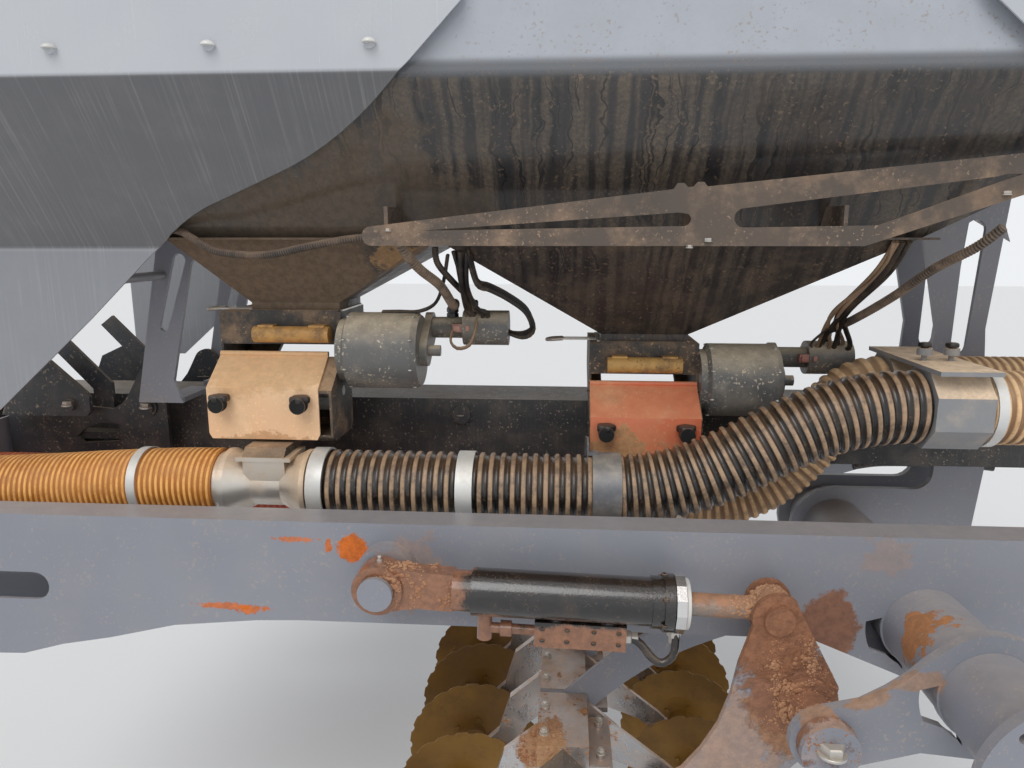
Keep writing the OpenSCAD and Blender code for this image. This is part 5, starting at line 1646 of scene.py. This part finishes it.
@dataclass
class Palette:
    """Every finish of the section, by its name."""

    finishes: tuple[Finish, ...] = (
        Finish("frame_paint", FRAME_BLUE, FRAME_SECOND, rough=0.36, dust=FRAME_DUST, dust_amount=0.10,
               top_dust=0.22, speckle=0.35, rust=0.08),
        Finish("beam_paint", FRAME_BLUE, FRAME_SECOND, rough=0.34, dust=FRAME_DUST, dust_amount=0.06,
               top_dust=0.22, speckle=0.25, rust=0.03, spots=BEAM_SPOTS),
        Finish("tube_paint", FRAME_BLUE, FRAME_SECOND, rough=0.34, dust=FRAME_DUST, dust_amount=0.10,
               top_dust=0.25, speckle=0.35, rust=0.10, spots=TUBE_SPOTS),
        Finish("crank_paint", FRAME_BLUE, FRAME_SECOND, rough=0.38, dust=DRY_MUD, dust_amount=0.25,
               top_dust=0.6, speckle=0.4, rust=0.2, spots=CRANK_MUD, bump=0.6),
        Finish("dark_frame_paint", (0.040, 0.043, 0.050), rough=0.42, dust=(0.30, 0.23, 0.16),
               dust_amount=0.15, top_dust=0.45, speckle=0.6, rust=0.1),
        Finish("spine_paint", (0.040, 0.042, 0.045), (0.056, 0.058, 0.060), rough=0.40,
               dust=(0.32, 0.26, 0.20), dust_amount=0.20, top_dust=0.5, speckle=0.8, streaks=0.35,
               streak_colour=(0.15, 0.14, 0.13)),
        # Hopper: the pale bluish wall above the bend and the grey band at the bend are painted light, the
        # lit upper wall and the bend's highlight, over the black paint; the brown patches are dust.
        Finish("hopper_paint", BLACK_PAINT, (0.025, 0.026, 0.030), rough=0.30, dust=(0.20, 0.14, 0.09),
               dust_amount=0.12, top_dust=0.2, drips=0.9, drip_top=0.85, streak_colour=(0.150, 0.118, 0.086),
               drip_colour=(0.012, 0.013, 0.016), speckle=0.4, coat=0.4,
               tone_bands=(ToneBand(0.868, 2.0, (0.435, 0.460, 0.510), 0.18, 0.012),
                       ToneBand(0.848, 0.872, (0.16, 0.17, 0.185), 0.25, 0.012)),
               spots=(Spot((0.95, -0.50, 0.58), 0.34, (0.135, 0.098, 0.066), 0.65, 0.5, 6.0),
                      Spot((1.25, -0.50, 0.54), 0.30, (0.135, 0.098, 0.066), 0.6, 0.5, 6.0))),
        Finish("funnel_paint", (0.022, 0.022, 0.024), rough=0.40, dust=(0.17, 0.115, 0.075),
               dust_amount=0.40, top_dust=0.2, drips=0.8, streak_colour=(0.150, 0.112, 0.080),
               drip_colour=(0.014, 0.015, 0.018), speckle=0.6,
               spots=(Spot((0.98, -0.40, 0.46), 0.30, (0.190, 0.130, 0.084), 0.85, 0.4, 6.0),
                      Spot((1.34, -0.36, 0.49), 0.10, (0.42, 0.25, 0.12), 0.8, 0.4, 16.0))),
        # Side sheet: its tones by height are painted light on its facets, the pale bluish base on the lit
        # upper facet, a dark band on the shaded middle facet and a mid tone on the lower one; the pale
        # streaks are rain marks.
        Finish("sheet_paint", (0.50, 0.52, 0.555), (0.53, 0.55, 0.58), rough=0.24, dust=(0.42, 0.38, 0.34),
               dust_amount=0.05, top_dust=0.2, streaks=0.16, streak_colour=(0.60, 0.60, 0.60), coat=0.3,
               tone_bands=(ToneBand(0.512, 0.852, (0.132, 0.134, 0.142), 0.32),
                       ToneBand(-1.0, 0.512, (0.260, 0.268, 0.290), 0.30))),
        Finish("brace_paint", (0.085, 0.066, 0.054), (0.115, 0.086, 0.066), rough=0.6,
               dust=(0.255, 0.175, 0.118), dust_amount=0.85, top_dust=0.6, speckle=0.9),
        Finish("housing_paint", (0.040, 0.037, 0.035), rough=0.55, dust=(0.34, 0.22, 0.13), dust_amount=0.55,
               top_dust=0.7, speckle=0.8),
        Finish("unit_paint", (0.84, 0.50, 0.27), (0.88, 0.58, 0.35), rough=0.6, dust=(0.74, 0.50, 0.30),
               dust_amount=0.6, top_dust=0.2, speckle=0.7, rust=0.16, rust_colour=(0.40, 0.15, 0.06),
               bump=0.3,
               # The spots from FlapKnobs are painted shadow under the star knobs.
               spots=(Spot((0.956, -0.36, 0.260), 0.20, (0.66, 0.37, 0.15), 0.45, 0.35, 7.0,
                           (0.9, 1.0, 1.6)),
                      Spot((0.956, -0.415, 0.035), 0.12, (0.52, 0.25, 0.10), 0.5, 0.9, 20.0,
                           (0.9, 1.0, 5.0)), *FlapKnobs().spots(0))),
        Finish("red_flap_paint", (0.78, 0.175, 0.080), (0.82, 0.27, 0.13), rough=0.42,
               dust=(0.62, 0.37, 0.20), dust_amount=0.40, top_dust=0.30, speckle=0.5, coat=0.2,
               # The spots from FlapKnobs are painted shadow under the star knobs.
               spots=(Spot((1.835, -0.325, -0.01), 0.075, (0.62, 0.37, 0.17), 0.8, 0.6, 16.0),
                      Spot((2.00, -0.325, -0.02), 0.06, (0.62, 0.37, 0.17), 0.7, 0.6, 16.0),
                      *FlapKnobs().spots(1)), bump=0.25),
        Finish("ochre_paint", (0.62, 0.36, 0.11), (0.52, 0.27, 0.08), rough=0.5, dust=(0.13, 0.080, 0.048),
               dust_amount=0.75, top_dust=0.05, dust_scale=24.0, speckle=0.7, rust=0.2,
               rust_colour=(0.12, 0.06, 0.035)),
        Finish("drive_black", (0.125, 0.127, 0.128), (0.150, 0.146, 0.138), rough=0.46,
               dust=(0.50, 0.42, 0.31), dust_amount=0.30, top_dust=0.95, speckle=0.9),
        Finish("roller_plastic", (0.5, 0.5, 0.47), rough=0.5),
        Finish("bare_steel", (0.60, 0.57, 0.53), rough=0.38, metal=0.8, dust=(0.42, 0.30, 0.20),
               dust_amount=0.45, top_dust=0.6, rust=0.18),
        Finish("venturi_steel", (0.62, 0.59, 0.54), (0.58, 0.48, 0.38), rough=0.34, metal=0.75,
               dust=(0.52, 0.36, 0.22), dust_amount=0.50, top_dust=0.7, rust=0.22,
               rust_colour=(0.42, 0.19, 0.08)),
        Finish("zinc", (0.66, 0.64, 0.60), rough=0.34, metal=0.8, dust=(0.40, 0.29, 0.19), dust_amount=0.40,
               top_dust=0.4, rust=0.15),
        Finish("band_metal", (0.74, 0.74, 0.72), rough=0.42, metal=0.45, dust=(0.52, 0.44, 0.34),
               dust_amount=0.30, top_dust=0.25,
               tone_bands=(ToneBand(1.74, 1.86, (0.125, 0.130, 0.145), 0.42, 0.003, 0),)),
        Finish("dark_screw", (0.06, 0.055, 0.05), rough=0.5, metal=0.3, dust=(0.30, 0.20, 0.13),
               dust_amount=0.5, top_dust=0.4),
        Finish("dome_bolt", (0.80, 0.80, 0.77), rough=0.35, metal=0.1, dust=(0.55, 0.46, 0.36),
               dust_amount=0.20, top_dust=0.1),
        Finish("knob", (0.012, 0.012, 0.013), rough=0.35, dust=(0.20, 0.14, 0.10), dust_amount=0.20,
               top_dust=0.30),
        Finish("pink_plug", (0.62, 0.26, 0.22), (0.50, 0.27, 0.22), rough=0.5, dust=(0.40, 0.28, 0.20),
               dust_amount=0.45, top_dust=0.5),
        # Hoses: the crest colours are painted highlight on the ribs, with dust on the black hose, and the
        # darker base colours stand partly for painted shade in the rib valleys.
        Finish("orange_hose", (0.42, 0.140, 0.016), (0.52, 0.19, 0.028), rough=0.38, dust=(0.50, 0.26, 0.11),
               dust_amount=0.35, top_dust=0.25, crest=(1.0, 0.53, 0.15), crest_share=0.95, crest_start=0.45),
        Finish("black_hose", (0.008, 0.008, 0.008), rough=0.28, dust=(0.20, 0.115, 0.062), dust_amount=0.12,
               top_dust=0.3, crest=(0.46, 0.30, 0.18), crest_share=1.0, crest_start=0.70, speckle=0.3,
               coat=0.3),
        Finish("tan_hose", (0.30, 0.165, 0.080), (0.36, 0.215, 0.115), rough=0.46, dust=(0.52, 0.36, 0.22),
               dust_amount=0.3, top_dust=0.3, crest=(0.95, 0.62, 0.33), crest_share=0.95),
        Finish("red_hose", (0.42, 0.045, 0.020), (0.50, 0.080, 0.032), rough=0.42, dust=(0.50, 0.26, 0.14),
               dust_amount=0.2, top_dust=0.3, crest=(0.68, 0.15, 0.062), crest_share=0.8),
        Finish("selector_plastic", (0.270, 0.275, 0.285), rough=0.42, dust=(0.70, 0.52, 0.35),
               dust_amount=0.22, top_dust=1.0),
        Finish("arm_steel", (0.56, 0.56, 0.57), (0.40, 0.40, 0.41), rough=0.26, metal=0.8,
               dust=(0.50, 0.29, 0.15), dust_amount=0.40, top_dust=0.35, rust=0.55,
               rust_colour=(0.56, 0.24, 0.07), speckle=0.8, bump=0.4,
               spots=(Spot((1.655, -0.56, -0.66), 0.075, (0.60, 0.32, 0.14), 0.9, 0.5, 18.0),
                      Spot((1.66, -0.50, -0.72), 0.07, (0.54, 0.27, 0.11), 0.9, 0.5, 18.0))),
        Finish("cylinder_black", (0.010, 0.010, 0.011), rough=0.22, dust=(0.22, 0.145, 0.095),
               dust_amount=0.22, top_dust=0.18, speckle=0.45, coat=0.3),
        Finish("barrel_paint", (0.008, 0.008, 0.009), rough=0.14, dust=(0.24, 0.155, 0.10), dust_amount=0.10,
               top_dust=0.08, speckle=0.12, coat=0.7, bump=0.5,
               spots=(Spot((1.36, -0.712, -0.19), 0.165, MUD, 1.0, 0.22, 18.0),
                      Spot((1.75, -0.712, -0.296), 0.085, MUD, 0.95, 0.2, 20.0, (0.55, 0.6, 2.0)),
                      Spot((1.56, -0.712, -0.270), 0.070, MUD, 0.85, 0.3, 20.0, (1.0, 0.6, 1.6)),
                      Spot((1.36, 0.712, -0.19), 0.165, MUD, 1.0, 0.22, 18.0))),
        Finish("rod_steel", (0.36, 0.33, 0.30), rough=0.35, metal=0.7, dust=(0.32, 0.160, 0.086),
               dust_amount=1.4, top_dust=0.9, rust=0.2, rust_colour=(0.33, 0.11, 0.03), bump=0.8),
        Finish("chrome", (0.80, 0.80, 0.80), rough=0.16, metal=1.0, dust=(0.40, 0.28, 0.19),
               dust_amount=0.15, top_dust=0.2),
        Finish("disc_steel", (0.31, 0.165, 0.034), (0.19, 0.095, 0.018), rough=0.42, metal=0.35,
               dust=(0.11, 0.056, 0.018), dust_amount=0.6, top_dust=0.1, rust=0.40,
               rust_colour=(0.62, 0.36, 0.09), bump=0.4),
        Finish("cable_black", (0.014, 0.013, 0.013), rough=0.45, dust=(0.22, 0.155, 0.105), dust_amount=0.45,
               top_dust=0.5),
        Finish("dusty_loom", (0.022, 0.020, 0.019), rough=0.6, dust=(0.17, 0.118, 0.084), dust_amount=0.9,
               top_dust=0.8, crest=(0.17, 0.118, 0.084), crest_share=0.8),
        Finish("muddy_conduit", (0.040, 0.035, 0.032), rough=0.6, dust=(0.28, 0.20, 0.14), dust_amount=0.9,
               top_dust=0.8, crest=(0.26, 0.185, 0.13), crest_share=0.9),
        Finish("wire_tan", (0.34, 0.225, 0.145), (0.22, 0.145, 0.10), rough=0.6, dust=(0.40, 0.27, 0.17),
               dust_amount=0.8, top_dust=0.5),
        Finish("mud", MUD, DRY_MUD, rough=0.85, dust=DRY_MUD, dust_amount=0.7, top_dust=0.4, dust_scale=30.0,
               bump=0.9, specular=0.25),
    )

    def build(self) -> dict[str, Material]:
        """Builds all the materials and gives them by name."""
        return {finish.name: finish.build() for finish in self.finishes}


def paint(piece: Piece, material: Material) -> None:
    """Gives every slot of a CAD piece the same material.

    Args:
        piece: the object to paint.
        material: its finish.
    """
    slots = piece.data.materials
    if not slots:
        slots.append(material)
    for i in range(len(slots)):
        slots[i] = material


def main() -> None:
    """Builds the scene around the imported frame."""
    logging.basicConfig(level=logging.INFO)
    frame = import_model()
    Studio().build()
    kit = Kit(Palette().build(), frame["nodes"], RibTree(), ScatterTree())
    for part in frame["record"]["subparts"]:
        paint(kit.nodes[part["node"]], kit.paints[NODE_FINISH.get(part["node"], part["material_slot"])])
    for group in (AirLines(), FrameHardware(), CarrierHardware(), FlapKnobs(), Wiring(), Handles(),
                  CylinderFittings(), DriedMud()):
        group.build(kit)


if __name__ == "__main__":
    main()
